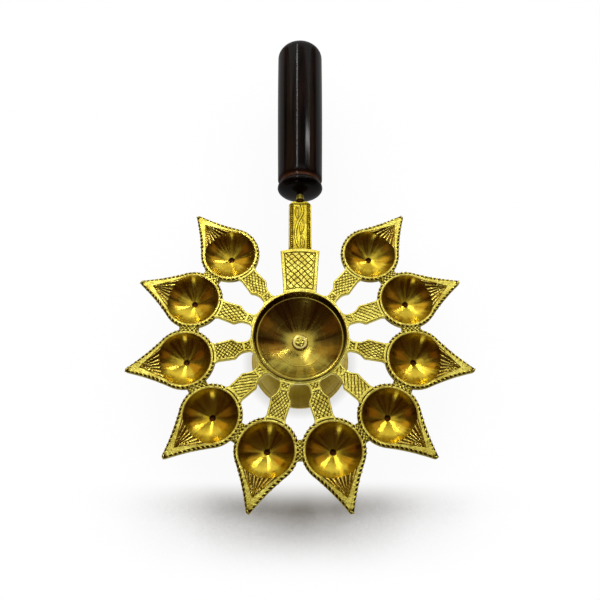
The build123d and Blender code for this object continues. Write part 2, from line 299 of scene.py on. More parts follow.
def ridge(value, middle, width):
    """A bell that is 1 at its middle and fades out over a width, for a line cut into a surface."""
    return np.exp(-np.square((value - middle) / width))


def capped(points, height):
    """Rings of points with both ends closed, each by a ring drawn together at a height."""
    caps = [points[:1].copy(), points[-1:].copy()]
    for cap in caps:
        cap[..., 1:] = (0, height)
        cap[..., 0] = cap[..., 0].mean()
    return np.concatenate([caps[0], points, caps[1]])


def place(mesh, angle, radius=0.0):
    """A copy of a mesh moved out by a radius, turned round the lamp's axis and raised to the wheel's top."""
    copy = mesh.copy()
    copy.transform(Matrix.Translation((0, 0, wheel_top * MM)) @ Matrix.Rotation(angle, 4, "Z")
                   @ Matrix.Translation((radius * MM, 0, 0)))
    return copy


# Nodes, for materials and for geometry

def add(tree, kind, inputs=None, **settings):
    """A node with its settings and inputs; an input that is a socket is linked."""
    made = tree.nodes.new(kind)
    for key, value in settings.items():
        setattr(made, key, value)
    for key, value in (inputs or {}).items():
        socket = made.inputs[key]
        if isinstance(value, bpy.types.NodeSocket):
            tree.links.new(value, socket)
        else:
            socket.default_value = value
    return made


def maths(tree, operation, first, second=0.0, clamp=False):
    inputs = {0: first, 1: second}
    return add(tree, "ShaderNodeMath", inputs, operation=operation, use_clamp=clamp).outputs[0]


def vector_maths(tree, operation, first, second):
    return add(tree, "ShaderNodeVectorMath", {0: first, 1: second}, operation=operation)


def scaled(tree, vector, amount):
    inputs = {0: vector, "Scale": amount}
    return add(tree, "ShaderNodeVectorMath", inputs, operation="SCALE").outputs[0]


def combine(tree, **parts):
    """A vector from its X, Y and Z, each 0 unless it is given."""
    return add(tree, "ShaderNodeCombineXYZ", parts).outputs[0]


def separate(tree, vector):
    """The X, Y and Z of a vector."""
    return add(tree, "ShaderNodeSeparateXYZ", {0: vector}).outputs


def spread(tree, value, low, high, to_low=0.0, to_high=1.0, soft=False):
    """A value mapped from one range to another and held at the ends."""
    shape = "SMOOTHSTEP" if soft else "LINEAR"
    inputs = {0: value, 1: low, 2: high, 3: to_low, 4: to_high}
    return add(tree, "ShaderNodeMapRange", inputs, interpolation_type=shape).outputs[0]


def noise(tree, vector, scale, detail=2.0, roughness=0.5):
    inputs = {"Vector": vector, "Scale": scale, "Detail": detail, "Roughness": roughness}
    return add(tree, "ShaderNodeTexNoise", inputs).outputs[0]


def blend(tree, share, first, second):
    """A colour between first and second."""
    return add(tree, "ShaderNodeMix", {0: share, 6: first, 7: second}, data_type="RGBA").outputs[2]


def new_tree(kind, name, inputs, outputs):
    """An empty node group with named sockets, its input node and its output node."""
    tree = bpy.data.node_groups.new(name, kind)
    for label, socket_type, default in inputs:
        socket = tree.interface.new_socket(label, in_out="INPUT", socket_type=socket_type)
        if default is not None:
            socket.default_value = default
    for label, socket_type in outputs:
        tree.interface.new_socket(label, in_out="OUTPUT", socket_type=socket_type)
    return tree, tree.nodes.new("NodeGroupInput").outputs, tree.nodes.new("NodeGroupOutput").inputs


def grow(source, tree, values):
    """The plain mesh that a geometry tree makes from a source mesh."""
    holder = bpy.data.objects.new(tree.name, source)
    bpy.context.scene.collection.objects.link(holder)
    modifier = holder.modifiers.new(tree.name, "NODES")
    modifier.node_group = tree
    for item in tree.interface.items_tree:
        if item.item_type == "SOCKET" and item.in_out == "INPUT" and item.name in values:
            modifier[item.identifier] = values[item.name]
    scene_graph = bpy.context.evaluated_depsgraph_get()
    made = bpy.data.meshes.new_from_object(
        holder.evaluated_get(scene_graph), preserve_all_data_layers=True, depsgraph=scene_graph)
    holder.modifiers.clear()
    bpy.data.objects.remove(holder)
    return made


def line_mesh(name, points, links=None):
    """Edges between points, a chain unless links are given, for a geometry tree to follow."""
    mesh = bpy.data.meshes.new(name)
    links = links or [(index, index + 1) for index in range(len(points) - 1)]
    mesh.from_pydata((np.asarray(points, float) * MM).tolist(), links, [])
    return mesh


# Shared effects of the finishes

VALUE, VECTOR = "NodeSocketFloat", "NodeSocketVector"


def make_casting_grain():
    """The sandy skin of cast brass: its height, and its small pits."""
    tree, given, out = new_tree(
        "ShaderNodeTree", "casting grain",
        [("Vector", VECTOR, None), ("Grain size", VALUE, 0.0009), ("Swell size", VALUE, 0.003)],
        [("Height", VALUE), ("Pits", VALUE)])
    fine = noise(tree, given["Vector"], maths(tree, "DIVIDE", 1.0, given["Grain size"]), 3.0, 0.6)
    swell = noise(tree, given["Vector"], maths(tree, "DIVIDE", 1.0, given["Swell size"]), 2.0)
    height = maths(tree, "ADD", maths(tree, "MULTIPLY", fine, 0.5), swell)
    tree.links.new(height, out["Height"])
    tree.links.new(spread(tree, fine, 0.53, 0.68), out["Pits"])
    return tree


def make_patina_and_shade():
    """Dark oxide that polishing leaves in the cuts, painted shade where the recess value stands for shadow
    (the spout's rib grooves, the tang by the bar's end), and the cloudy tone of the open metal.
    """
    tree, given, out = new_tree(
        "ShaderNodeTree", "patina_and_shade",
        [("Vector", VECTOR, None), ("Recess", VALUE, 0.0), ("Cloud size", VALUE, 0.006),
         ("Wander", VALUE, 0.4)],
        [("Dark", VALUE), ("Cloud", VALUE)])
    cloud = noise(tree, given["Vector"], maths(tree, "DIVIDE", 1.0, given["Cloud size"]), 4.0, 0.55)
    wander = maths(tree, "MULTIPLY", maths(tree, "SUBTRACT", cloud, 0.5), given["Wander"])
    tree.links.new(maths(tree, "ADD", given["Recess"], wander, clamp=True), out["Dark"])
    tree.links.new(spread(tree, cloud, 0.35, 0.68), out["Cloud"])
    return tree


def make_turning_marks():
    """Fine rings from the turning tool, short scratches round them, and rays from the middle.

    Turn is the piece's turn map, and Place the place on the object.
    """
    tree, given, out = new_tree(
        "ShaderNodeTree", "turning marks",
        [("Turn", VECTOR, None), ("Place", VECTOR, None), ("Rings", VALUE, 60.0), ("Scratches", VALUE, 3.0),
         ("Rays", VALUE, 5.0), ("Ray height", VALUE, 0.0), ("Waver", VALUE, 0.0)],
        [("Height", VALUE), ("Streak", VALUE), ("Ray", VALUE)])
    part = separate(tree, given["Turn"])
    angle = maths(tree, "MULTIPLY", part[0], 2 * pi)
    circle = combine(tree, X=maths(tree, "COSINE", angle), Y=maths(tree, "SINE", angle))
    across = maths(tree, "MULTIPLY", part[1], given["Rings"])
    ring_place = combine(tree, Z=across)
    around = scaled(tree, circle, given["Scratches"])
    twice = scaled(tree, ring_place, 2.0)
    scratch = noise(tree, vector_maths(tree, "ADD", twice, around).outputs[0], 1.0, 2.0)
    fan = scaled(tree, circle, given["Rays"])
    drift = scaled(tree, given["Place"], 30.0)
    ray = noise(tree, vector_maths(tree, "ADD", fan, drift).outputs[0], 1.0, 3.0, 0.6)
    height = maths(tree, "ADD", noise(tree, ring_place, 1.0, 3.0), maths(tree, "MULTIPLY", scratch, 0.6))
    height = maths(tree, "ADD", height, maths(tree, "MULTIPLY", ray, given["Ray height"]))
    waver = noise(tree, given["Place"], 150.0, 1.0)
    height = maths(tree, "ADD", height, maths(tree, "MULTIPLY", waver, given["Waver"]))
    tree.links.new(height, out["Height"])
    tree.links.new(spread(tree, scratch, 0.4, 0.7), out["Streak"])
    tree.links.new(spread(tree, ray, 0.42, 0.66), out["Ray"])
    return tree


casting_grain = make_casting_grain()
patina_and_shade = make_patina_and_shade()
turning_marks = make_turning_marks()


# Finishes

def colour(red, green, blue):
    """A colour given as 0 to 255, as the linear values that a shader takes."""
    linear = [((c / 255 + 0.055) / 1.055) ** 2.4 if c > 10 else c / 3295 for c in (red, green, blue)]
    return (*linear, 1.0)


def empty_material(name):
    """A material whose tree holds no node yet, and that tree."""
    material = bpy.data.materials.new(name)
    material.use_nodes = True
    material.node_tree.nodes.clear()
    return material, material.node_tree


def new_finish(name):
    """A material with a surface shader: its tree, the shader's inputs and the place on the object."""
    material, tree = empty_material(name)
    surface = add(tree, "ShaderNodeBsdfPrincipled")
    add(tree, "ShaderNodeOutputMaterial", {"Surface": surface.outputs[0]})
    return material, tree, surface.inputs, add(tree, "ShaderNodeTexCoord").outputs["Object"]


def use(tree, group, inputs):
    """A shared effect placed in a material with its own values."""
    return add(tree, "ShaderNodeGroup", inputs, node_tree=group).outputs


def bump(tree, height, strength, distance):
    inputs = {"Strength": strength, "Distance": distance, "Height": height}
    return add(tree, "ShaderNodeBump", inputs).outputs[0]


def depth_of_cut(tree):
    return add(tree, "ShaderNodeAttribute", attribute_name="recess").outputs["Fac"]


def cast_brass(name, bright, worn, dark, smooth, rough, grain_strength):
    """Cast brass: lemon-gold where it is rubbed, duller in between, and dark brown in the cuts and where
    shade is painted by the recess value.
    """
    material, tree, surface, where = new_finish(name)
    grain = use(tree, casting_grain, {"Vector": where})
    dirt_and_shade = use(tree, patina_and_shade, {"Vector": where, "Recess": depth_of_cut(tree)})
    body = blend(tree, dirt_and_shade["Cloud"], bright, worn)
    body = blend(tree, maths(tree, "MULTIPLY", grain["Pits"], 0.7), body, dark)
    body = blend(tree, spread(tree, dirt_and_shade["Dark"], 0.22, 0.85), body, dark)
    tree.links.new(body, surface["Base Color"])
    surface["Metallic"].default_value = 1.0
    cut_roughness = maths(tree, "MULTIPLY", dirt_and_shade["Dark"], 0.3)
    open_roughness = spread(tree, dirt_and_shade["Cloud"], 0.0, 1.0, smooth, rough)
    tree.links.new(maths(tree, "ADD", open_roughness, cut_roughness, clamp=True), surface["Roughness"])
    tree.links.new(bump(tree, grain["Height"], grain_strength, 0.0003), surface["Normal"])
    return material


def turned_brass(name, bright, warm, tarnish, smooth, rough, anisotropy, rings, mark_strength,
                 rays=0.3, stains=0.0, ray_height=0.0, waver=0.0):
    """Turned brass whose fine rings draw light out into streaks from the middle to the edge."""
    material, tree, surface, where = new_finish(name)
    turn = add(tree, "ShaderNodeUVMap", uv_map="turn").outputs[0]
    dirt_and_shade = use(tree, patina_and_shade, {
        "Vector": where, "Recess": depth_of_cut(tree), "Cloud size": 0.009, "Wander": 0.5})
    marks = use(tree, turning_marks, {
        "Turn": turn, "Place": where, "Rings": rings, "Ray height": ray_height, "Waver": waver})
    old = use(tree, patina_and_shade, {"Vector": where, "Cloud size": 0.02, "Wander": 1.0})
    # Stains are drawn only on the back half of the piece: none in front of Y = -12 mm, in full from Y = 0.
    on_back_half = separate(tree, where)[1]
    on_back_half = maths(tree, "MULTIPLY", spread(tree, on_back_half, -0.012, 0.0), stains)
    stain = maths(tree, "MULTIPLY", spread(tree, old["Cloud"], 0.3, 0.6), on_back_half)
    body = blend(tree, dirt_and_shade["Cloud"], bright, warm)
    body = blend(tree, maths(tree, "MULTIPLY", marks["Streak"], 0.2), body, tarnish)
    body = blend(tree, maths(tree, "MULTIPLY", marks["Ray"], rays), body, tarnish)
    body = blend(tree, maths(tree, "MULTIPLY", stain, 0.8), body, colour(86, 36, 24))
    body = blend(tree, spread(tree, dirt_and_shade["Dark"], 0.2, 0.95), body, colour(58, 30, 10))
    tree.links.new(body, surface["Base Color"])
    surface["Metallic"].default_value = 1.0
    polish = spread(tree, marks["Ray"], 0.0, 1.0, rough, smooth)
    tree.links.new(maths(tree, "ADD", polish, maths(tree, "MULTIPLY", stain, 0.12)), surface["Roughness"])
    surface["Anisotropic"].default_value = anisotropy
    surface["Anisotropic Rotation"].default_value = 0.25
    around = add(tree, "ShaderNodeTangent", direction_type="UV_MAP", uv_map="turn").outputs[0]
    tree.links.new(around, surface["Tangent"])
    tree.links.new(bump(tree, marks["Height"], mark_strength, 0.00006), surface["Normal"])
    return material


def rosewood_finish():
    """Dark rosewood under a clear coat: long near-black and red-brown figure with open pores."""
    material, tree, surface, where = new_finish("rosewood")
    long_way = add(tree, "ShaderNodeMapping", {"Vector": where, "Scale": (200.0, 26.0, 200.0)}).outputs[0]
    figure = noise(tree, long_way, 1.0, 5.0, 0.6)
    pore_way = add(tree, "ShaderNodeMapping", {"Vector": where, "Scale": (2200.0, 110.0, 2200.0)}).outputs[0]
    pores = noise(tree, pore_way, 1.0, 2.0)
    wood = blend(tree, spread(tree, figure, 0.4, 0.7), colour(4, 3, 2), colour(30, 15, 8))
    wood = blend(tree, spread(tree, pores, 0.57, 0.7), wood, colour(6, 3, 3))
    # Where the recess value is set, in the handle's groove, the wood turns a lighter red-brown.
    wood = blend(tree, depth_of_cut(tree), wood, colour(78, 46, 28))
    tree.links.new(wood, surface["Base Color"])
    tree.links.new(spread(tree, figure, 0.3, 0.7, 0.3, 0.45), surface["Roughness"])
    surface["Specular IOR Level"].default_value = 0.02
    surface["Coat Weight"].default_value = 0.22
    surface["Coat Roughness"].default_value = 0.1
    surface["Coat IOR"].default_value = 1.35
    tree.links.new(bump(tree, pores, 0.15, 0.0001), surface["Normal"])
    tree.links.new(bump(tree, pores, 0.2, 0.00004), surface["Coat Normal"])
    return material


leaf_brass = cast_brass(
    "leaf brass", colour(236, 226, 108), colour(212, 196, 78), colour(72, 50, 10),
    smooth=0.32, rough=0.48, grain_strength=0.9)
bar_brass = cast_brass(
    "bar brass", colour(220, 203, 68), colour(196, 175, 48), colour(72, 50, 10),
    smooth=0.32, rough=0.48, grain_strength=0.9)
# The spout's dark colour draws its cast pits and the painted shade in its rib grooves.
spout_brass = cast_brass(
    "spout brass", colour(206, 186, 84), colour(176, 148, 54), colour(44, 18, 10),
    smooth=0.17, rough=0.25, grain_strength=0.5)
cup_brass = turned_brass(
    "cup brass", colour(210, 192, 64), colour(198, 172, 46), colour(140, 84, 20),
    smooth=0.15, rough=0.25, anisotropy=0.85, rings=60.0, mark_strength=0.2,
    rays=0.35, ray_height=3.5, waver=6.0)
bowl_brass = turned_brass(
    "bowl brass", colour(174, 164, 70), colour(166, 140, 50), colour(88, 38, 16),
    smooth=0.16, rough=0.26, anisotropy=0.7, rings=120.0, mark_strength=0.15,
    rays=0.2, stains=0.6, ray_height=3.0, waver=24.0)
washer_brass = turned_brass(
    "washer brass", colour(222, 210, 132), colour(212, 192, 96), colour(84, 60, 20),
    smooth=0.25, rough=0.36, anisotropy=0.4, rings=14.0, mark_strength=0.2)
foot_brass = turned_brass(
    "foot brass", colour(226, 212, 128), colour(212, 192, 104), colour(140, 116, 54),
    smooth=0.36, rough=0.46, anisotropy=0.3, rings=40.0, mark_strength=0.1)
rosewood = rosewood_finish()


# Leaf cups

nose_centre = np.array([leaf_reach - leaf_nose_radius, 0.0])
flank_to_cup = leaf_flank_radius + leaf_radius
flank_to_nose = leaf_flank_radius + leaf_nose_radius
flank_x = (nose_centre[0] ** 2 + flank_to_cup**2 - flank_to_nose**2) / (2 * nose_centre[0])
flank_centre = np.array([flank_x, sqrt(flank_to_cup**2 - flank_x**2)])
spout_mouth = cup_radius * cos(spout_half_angle)
spout_half_width = cup_radius * sin(spout_half_angle)
spout_end = leaf_reach - spout_tip_margin
wall_line = arc((cup_radius, 0), (cup_knee_radius, -cup_knee_depth), cup_wall_bulge, 60)


def leaf_edge(count):
    """Evenly spaced points round a leaf's edge, from the tip over the left side and back."""
    to_flank = atan2(*(flank_centre - nose_centre)[::-1])
    from_flank = atan2(*(nose_centre - flank_centre)[::-1])
    at_cup = atan2(*(-flank_centre)[::-1])
    half = np.vstack([
        swing(nose_centre, leaf_nose_radius, 0, to_flank, 40)[:-1],
        swing(flank_centre, leaf_flank_radius, from_flank, at_cup, 200)[:-1],
        swing((0, 0), leaf_radius, atan2(*flank_centre[::-1]), pi, 400),
    ])
    return even(np.vstack([half, half[-2:0:-1] * [1, -1]]), count)


def wall_radius(height):
    """Radius of the cup's wall at a height below the rim."""
    return np.interp(-np.asarray(height), -wall_line[:, 1], wall_line[:, 0])


def spout_shape(x, y):
    """The spout's height, a narrow floor between sloping sides, and how far across it lies from -1 to 1."""
    half = np.maximum(spout_half_width * (spout_end - x) / (spout_end - spout_mouth), 0.05)
    across = np.clip(y / half, -1, 1)
    side = np.minimum(1.0 - np.abs(across), spout_side_share) * half
    return -spout_edge_depth - side * spout_side_slope, across


def leaf_mesh():
    """One leaf: its cup's centre on the origin, its tip along +X and its rim on Z = 0."""
    edge = leaf_edge(360)
    angle = np.arctan2(edge[:, 1], edge[:, 0])
    outer = np.hypot(edge[:, 0], edge[:, 1])
    side = np.abs(angle)
    in_spout = side < spout_half_angle
    spout_edge = spout_end * spout_half_width / (
        spout_half_width * np.cos(side) + (spout_end - spout_mouth) * np.sin(side))
    inner = np.where(in_spout, np.maximum(spout_edge, cup_radius), cup_radius)
    wall_top = np.full_like(angle, -cup_brink_depth)
    for _ in range(12):
        brink = wall_radius(wall_top)
        mouth = spout_shape(brink * np.cos(angle), brink * np.sin(angle))[0]
        wall_top = np.where(in_spout, 0.5 * (wall_top + mouth), wall_top)
    brink = wall_radius(wall_top)
    rings = []
    slots = []
    in_rim, in_cup, in_mouth = 0, 1, 2

    def ring(radius, height, recess=0.0, slot=in_rim):
        rings.append([np.broadcast_to(value, angle.shape) for value in (radius, height, recess)])
        slots.append(slot)

    pilot_floor = -cup_depth - pilot_depth
    floor_run = cup_knee_radius - pilot_radius
    floor_curve = (cup_depth - cup_knee_depth - floor_run * cup_floor_slope) / floor_run**2
    ring(0.0, pilot_floor, 1.0, in_cup)
    ring(0.6, pilot_floor, 1.0, in_cup)
    ring(1.1, pilot_floor + 0.12, 1.0, in_cup)
    ring(pilot_radius - 0.03, -cup_depth - 0.1, 0.9, in_cup)
    floor_rings = ((1.42, 0.9), (1.65, 0.4), (2.2, 0.0), (3.0, 0.0),
                   (3.8, 0.0), (4.6, 0.0), (5.4, 0.0), (6.1, 0.0))
    for radius, recess in floor_rings:
        run = radius - pilot_radius
        ring(radius, -cup_depth + run * cup_floor_slope + run**2 * floor_curve, recess, in_cup)
    for share in (0.03, 0.08, 0.15, 0.23, 0.31, 0.39, 0.47, 0.55, 0.63, 0.71, 0.79, 0.86, 0.92, 0.96, 1.0):
        height = -cup_knee_depth + (wall_top + cup_knee_depth) * share
        ring(wall_radius(height), height, 0.0, in_cup)
    slots[-1] = in_mouth
    for share in (0.02, 0.06, 0.12, 0.2, 0.3, 0.4, 0.5, 0.6, 0.7, 0.8, 0.88, 0.94, 0.98, 1.0):
        radius = brink + (inner - brink) * share
        x, y = radius * np.cos(angle), radius * np.sin(angle)
        floor, across = spout_shape(x, y)
        rib = np.abs(np.cos(across * spout_rib_count * pi / 2)) ** 0.7
        fade = min(1.0, share / 0.06) * min(1.0, (1.0 - share) / 0.12)
        height = floor + rib * spout_rib_height * fade
        # Painted shade: the grooves between the ribs get a high recess value, so they are drawn dark.
        recess = 0.05 + 0.95 * (1.0 - rib) * fade
        ring(radius, np.where(in_spout, height, wall_top), np.where(in_spout, recess, 0.0), in_mouth)
    ring(inner + 0.05, -0.14, np.where(in_spout, 0.4, 0.0))
    ring(inner + 0.2, 0.0)
    crown = 0.05 * np.sin(5 * angle + 0.7) + 0.03 * np.sin(11 * angle)
    rope_band = np.clip(0.4 * (outer - inner) + 0.4, 1.2, 1.9)
    for share in (0.2, 0.4, 0.6, 0.8, 1.0):
        ring(inner + 0.2 + (outer - rope_band - inner - 0.2) * share, crown * min(share, 0.6), 0.1 * share)
    rope_bed = ((0.95, -0.04, 0.2), (0.88, -0.22, 0.9), (0.8, -0.34, 1.0), (0.6, -0.38, 1.0),
                (0.4, -0.38, 1.0), (0.22, -0.38, 0.9), (0.1, -0.45, 0.5), (0.04, -0.6, 0.3))
    for share, height, recess in rope_bed:
        ring(outer - rope_band * share, height, recess)
    outer_side = ((0.05, -1.1, 0.5), (0.1, -1.9, 0.6), (0.12, -2.9, 0.5), (0.4, -3.25, 0.3),
                  (0.7, -leaf_rim_height, 0.25))
    for inset, height, recess in outer_side:
        ring(outer - inset, height, recess)
    base = pilot_floor - cup_base_thickness
    belly = arc((cup_belly_radius, -leaf_rim_height), (cup_base_radius, base), cup_belly_bulge, 12)
    for radius, height in belly:
        ring(radius, height, 0.15)
    ring(2.0, base, 0.15)
    ring(0.0, base, 0.15)
    radius, height, recess = (np.array([entry[k] for entry in rings], float) for k in (0, 1, 2))
    points = np.stack([radius * np.cos(angle), radius * np.sin(angle), height], axis=-1)
    return skin("leaf", points, [leaf_brass, cup_brass, spout_brass], slots[:-1], recess)


leaf = leaf_mesh()
for number, angle in enumerate(leaf_angles, 1):
    name = f"leaf_cup_{number:02d}"
    piece(f"{name}_cast", place(leaf, angle, leaf_ring_radius), "cast_brass", name)


# Roped edges of the leaves

GEOMETRY, MATERIAL = "NodeSocketGeometry", "NodeSocketMaterial"
COUNT, ANGLE = "NodeSocketInt", "NodeSocketFloat"


def lobe(tree):
    """A round lobe with dark undersides, one unit in radius."""
    sizes = {"Segments": 8, "Rings": 6, "Radius": 1.0}
    ball = add(tree, "GeometryNodeMeshUVSphere", sizes).outputs[0]
    height = separate(tree, add(tree, "GeometryNodeInputPosition").outputs[0])[2]
    return store_recess(tree, ball, spread(tree, height, -0.2, 0.5, 1.0, 0.0))


def store_recess(tree, geometry, value):
    inputs = {"Geometry": geometry, "Name": "recess", "Value": value}
    return add(tree, "GeometryNodeStoreNamedAttribute", inputs, data_type="FLOAT", domain="POINT").outputs[0]


def stored(tree, name, kind="FLOAT"):
    """A value that is kept under a name on the points of a mesh."""
    return add(tree, "GeometryNodeInputNamedAttribute", {"Name": name}, data_type=kind).outputs[0]


def points_along(tree, lines, pitch):
    """Points along lines of edges, a pitch apart."""
    curve = add(tree, "GeometryNodeMeshToCurve", {"Mesh": lines}).outputs[0]
    inputs = {"Curve": curve, "Length": pitch}
    return add(tree, "GeometryNodeCurveToPoints", inputs, mode="LENGTH").outputs


def finish_tree(tree, geometry, material, out):
    """The end of every geometry tree: real geometry, smooth, with its finish."""
    real = add(tree, "GeometryNodeRealizeInstances", {"Geometry": geometry}).outputs[0]
    smooth = add(tree, "GeometryNodeSetShadeSmooth", {"Geometry": real}).outputs[0]
    painted = add(tree, "GeometryNodeSetMaterial", {"Geometry": smooth, "Material": material}).outputs[0]
    tree.links.new(painted, out["Geometry"])


def make_roped_edge():
    """Slanting lobes along a line, as the cuts of a file leave them, repeated round the wheel of leaves."""
    tree, given, out = new_tree(
        "GeometryNodeTree", "roped edge",
        [("Geometry", GEOMETRY, None), ("Pitch", VALUE, 0.0018), ("Lobe size", VECTOR, None),
         ("Lean", ANGLE, 0.7), ("Dip", ANGLE, 0.4), ("Leaves", COUNT, 10), ("First angle", ANGLE, 0.0),
         ("Leaf pitch", ANGLE, 0.5), ("Ring radius", VALUE, 0.05), ("Height", VALUE, 0.0),
         ("Seed", COUNT, 0), ("Finish", MATERIAL, None)],
        [("Geometry", GEOMETRY)])
    points = points_along(tree, given["Geometry"], given["Pitch"])
    along = add(tree, "FunctionNodeAxesToRotation", {0: (0.0, 0.0, 1.0), 1: points["Tangent"]},
                primary_axis="Z", secondary_axis="X").outputs[0]
    twist = combine(tree, Y=given["Dip"], Z=given["Lean"])
    twist = add(tree, "FunctionNodeEulerToRotation", {0: twist}).outputs[0]
    turned_in = add(tree, "FunctionNodeRotateRotation", {0: along, 1: twist},
                    rotation_space="LOCAL").outputs[0]
    smallest, largest = 0.85, 1.12
    uneven = add(tree, "FunctionNodeRandomValue", {2: smallest, 3: largest, "Seed": given["Seed"]},
                 data_type="FLOAT").outputs[1]
    size = scaled(tree, given["Lobe size"], uneven)
    rope = add(tree, "GeometryNodeInstanceOnPoints", {
        "Points": points["Points"], "Instance": lobe(tree), "Rotation": turned_in,
        "Scale": size}).outputs[0]
    rope = add(tree, "GeometryNodeRealizeInstances", {"Geometry": rope}).outputs[0]
    in_one_place = {"Count": given["Leaves"], "Offset": (0.0, 0.0, 0.0)}
    leaves = add(tree, "GeometryNodeMeshLine", in_one_place).outputs[0]
    number = add(tree, "GeometryNodeInputIndex").outputs[0]
    angle = maths(tree, "ADD", given["First angle"], maths(tree, "MULTIPLY", number, given["Leaf pitch"]))
    spot = combine(
        tree,
        X=maths(tree, "MULTIPLY", given["Ring radius"], maths(tree, "COSINE", angle)),
        Y=maths(tree, "MULTIPLY", given["Ring radius"], maths(tree, "SINE", angle)),
        Z=given["Height"])
    turn = add(tree, "FunctionNodeEulerToRotation", {0: combine(tree, Z=angle)}).outputs[0]
    leaves = add(tree, "GeometryNodeStoreNamedAttribute",
                 {"Geometry": leaves, "Name": "turn_to", "Value": turn},
                 data_type="QUATERNION", domain="POINT").outputs[0]
    leaves = add(tree, "GeometryNodeSetPosition", {"Geometry": leaves, "Position": spot}).outputs[0]
    kept_turn = stored(tree, "turn_to", "QUATERNION")
    wheel = add(tree, "GeometryNodeInstanceOnPoints", {
        "Points": leaves, "Instance": rope, "Rotation": kept_turn}).outputs[0]
    finish_tree(tree, wheel, given["Finish"], out)
    return tree


def rope_line():
    """The line of the lobes round a leaf, open where the arm meets it."""
    edge = leaf_edge(720)
    ahead = np.roll(edge, -1, axis=0) - np.roll(edge, 1, axis=0)
    inward = np.stack([-ahead[:, 1], ahead[:, 0]], axis=-1) / np.hypot(*ahead.T)[:, None]
    line = edge + inward * rope_inset
    line = np.roll(line, len(line) // 2, axis=0)
    from_arm = np.abs(pi - np.abs(np.arctan2(line[:, 1], line[:, 0])))
    line = line[from_arm > asin(arm_leaf_width / 2 / leaf_radius)]
    return np.column_stack([line, np.full(len(line), -rope_drop)])


roped_edge = make_roped_edge()
rope_mesh = grow(line_mesh("rope_line", rope_line()), roped_edge, {
    "Pitch": rope_pitch * MM, "Lobe size": tuple(size * MM for size in rope_lobe),
    "Lean": radians(rope_lean), "Dip": radians(rope_dip), "Leaves": leaf_count,
    "First angle": leaf_angles[0], "Leaf pitch": radians(leaf_pitch),
    "Ring radius": leaf_ring_radius * MM, "Height": wheel_top * MM, "Seed": 5, "Finish": leaf_brass})
piece("leaf_roped_edges", rope_mesh, "cast_brass")


# Hatched panels of the arms and the plate

def make_hatched_panel():
    """Two sets of slanting cuts across the panel of a plate, wandering a little as hand work does."""
    tree, given, out = new_tree(
        "GeometryNodeTree", "hatched panel",
        [("Geometry", GEOMETRY, None), ("Pitch", VALUE, 0.0015), ("Cut width", VALUE, 0.0004),
         ("Depth", VALUE, 0.0003), ("First lean", ANGLE, 0.8), ("Second lean", ANGLE, -0.8),
         ("Second depth", VALUE, 1.0), ("Wander", VALUE, 0.0004), ("Start", VECTOR, None),
         ("Finish", MATERIAL, None)],
        [("Geometry", GEOMETRY)])
    position = add(tree, "GeometryNodeInputPosition").outputs[0]
    from_start = vector_maths(tree, "ADD", position, given["Start"]).outputs[0]
    unsteady = {"Vector": from_start, "Scale": 260.0, "Detail": 1.0}
    cloud = add(tree, "ShaderNodeTexNoise", unsteady).outputs["Color"]
    off = vector_maths(tree, "SUBTRACT", cloud, (0.5, 0.5, 0.5)).outputs[0]
    off = scaled(tree, off, given["Wander"])
    point = vector_maths(tree, "ADD", from_start, off).outputs[0]
    cuts = []
    for lean in ("First lean", "Second lean"):
        across = combine(tree, X=maths(tree, "SINE", given[lean]), Y=maths(tree, "COSINE", given[lean]))
        along = vector_maths(tree, "DOT_PRODUCT", point, across).outputs["Value"]
        share = maths(tree, "FRACT", maths(tree, "DIVIDE", along, given["Pitch"]))
        away = maths(tree, "ABSOLUTE", maths(tree, "SUBTRACT", share, 0.5))
        away = maths(tree, "MULTIPLY", away, given["Pitch"])
        half = maths(tree, "MULTIPLY", given["Cut width"], 0.5)
        edge = maths(tree, "MULTIPLY", given["Cut width"], 0.12)
        cuts.append(spread(tree, away, edge, half, 1.0, 0.0, soft=True))
    second = maths(tree, "MULTIPLY", cuts[1], given["Second depth"])
    cut = maths(tree, "MULTIPLY", maths(tree, "MAXIMUM", cuts[0], second), stored(tree, "panel"))
    recess = maths(tree, "MAXIMUM", stored(tree, "recess"), cut)
    worked = store_recess(tree, given["Geometry"], recess)
    depth = maths(tree, "MULTIPLY", cut, given["Depth"])
    drop = combine(tree, Z=maths(tree, "MULTIPLY", depth, -1.0))
    worked = add(tree, "GeometryNodeSetPosition", {"Geometry": worked, "Offset": drop}).outputs[0]
    finish_tree(tree, worked, given["Finish"], out)
    return tree


hatched_panel = make_hatched_panel()


def plank(name, stations, surface, thickness, finish, columns):
    """A flat bar along +X with a worked top.

    Each station has its x at the middle, its half width and how x bends with y. surface gives, for a
    station's points, how far the top lies below Z = 0, how dirty it is and how much of the panel's
    hatching it takes.
    """
    across = np.linspace(-1, 1, columns)
    edge = 0.35
    under_dirt = 0.25
    under_line = ((1, 1.0, edge), (1, 0.94, 0), (-1, 0.94, 0), (-1, 1.0, edge))
    rows, dirt_and_shade, panel = [], [], []
    for x, half, bend in stations:
        y = across * half
        depth, recess, hatch = surface(x, y, half)
        round_off = np.clip(edge - (half - np.abs(y)), 0, edge) ** 2 / edge
        top = np.stack([x + bend(y), y, -depth - round_off], axis=-1)
        under = np.array([(x + bend(side * half * share), side * half * share, -thickness + rise)
                          for side, share, rise in under_line])
        rows.append(np.vstack([top, under]))
        dirt_and_shade.append(np.concatenate([recess, np.full(len(under), under_dirt)]))
        panel.append(np.concatenate([hatch, np.zeros(len(under))]))
    points = capped(np.array(rows), -thickness / 2)
    plain = np.zeros((1, points.shape[1]))
    dirt_and_shade = np.concatenate([plain + under_dirt, np.array(dirt_and_shade), plain + under_dirt])
    panel = np.concatenate([plain, np.array(panel), plain])
    return skin(name, points, [finish], None, dirt_and_shade, extra={"panel": panel})


# Arms

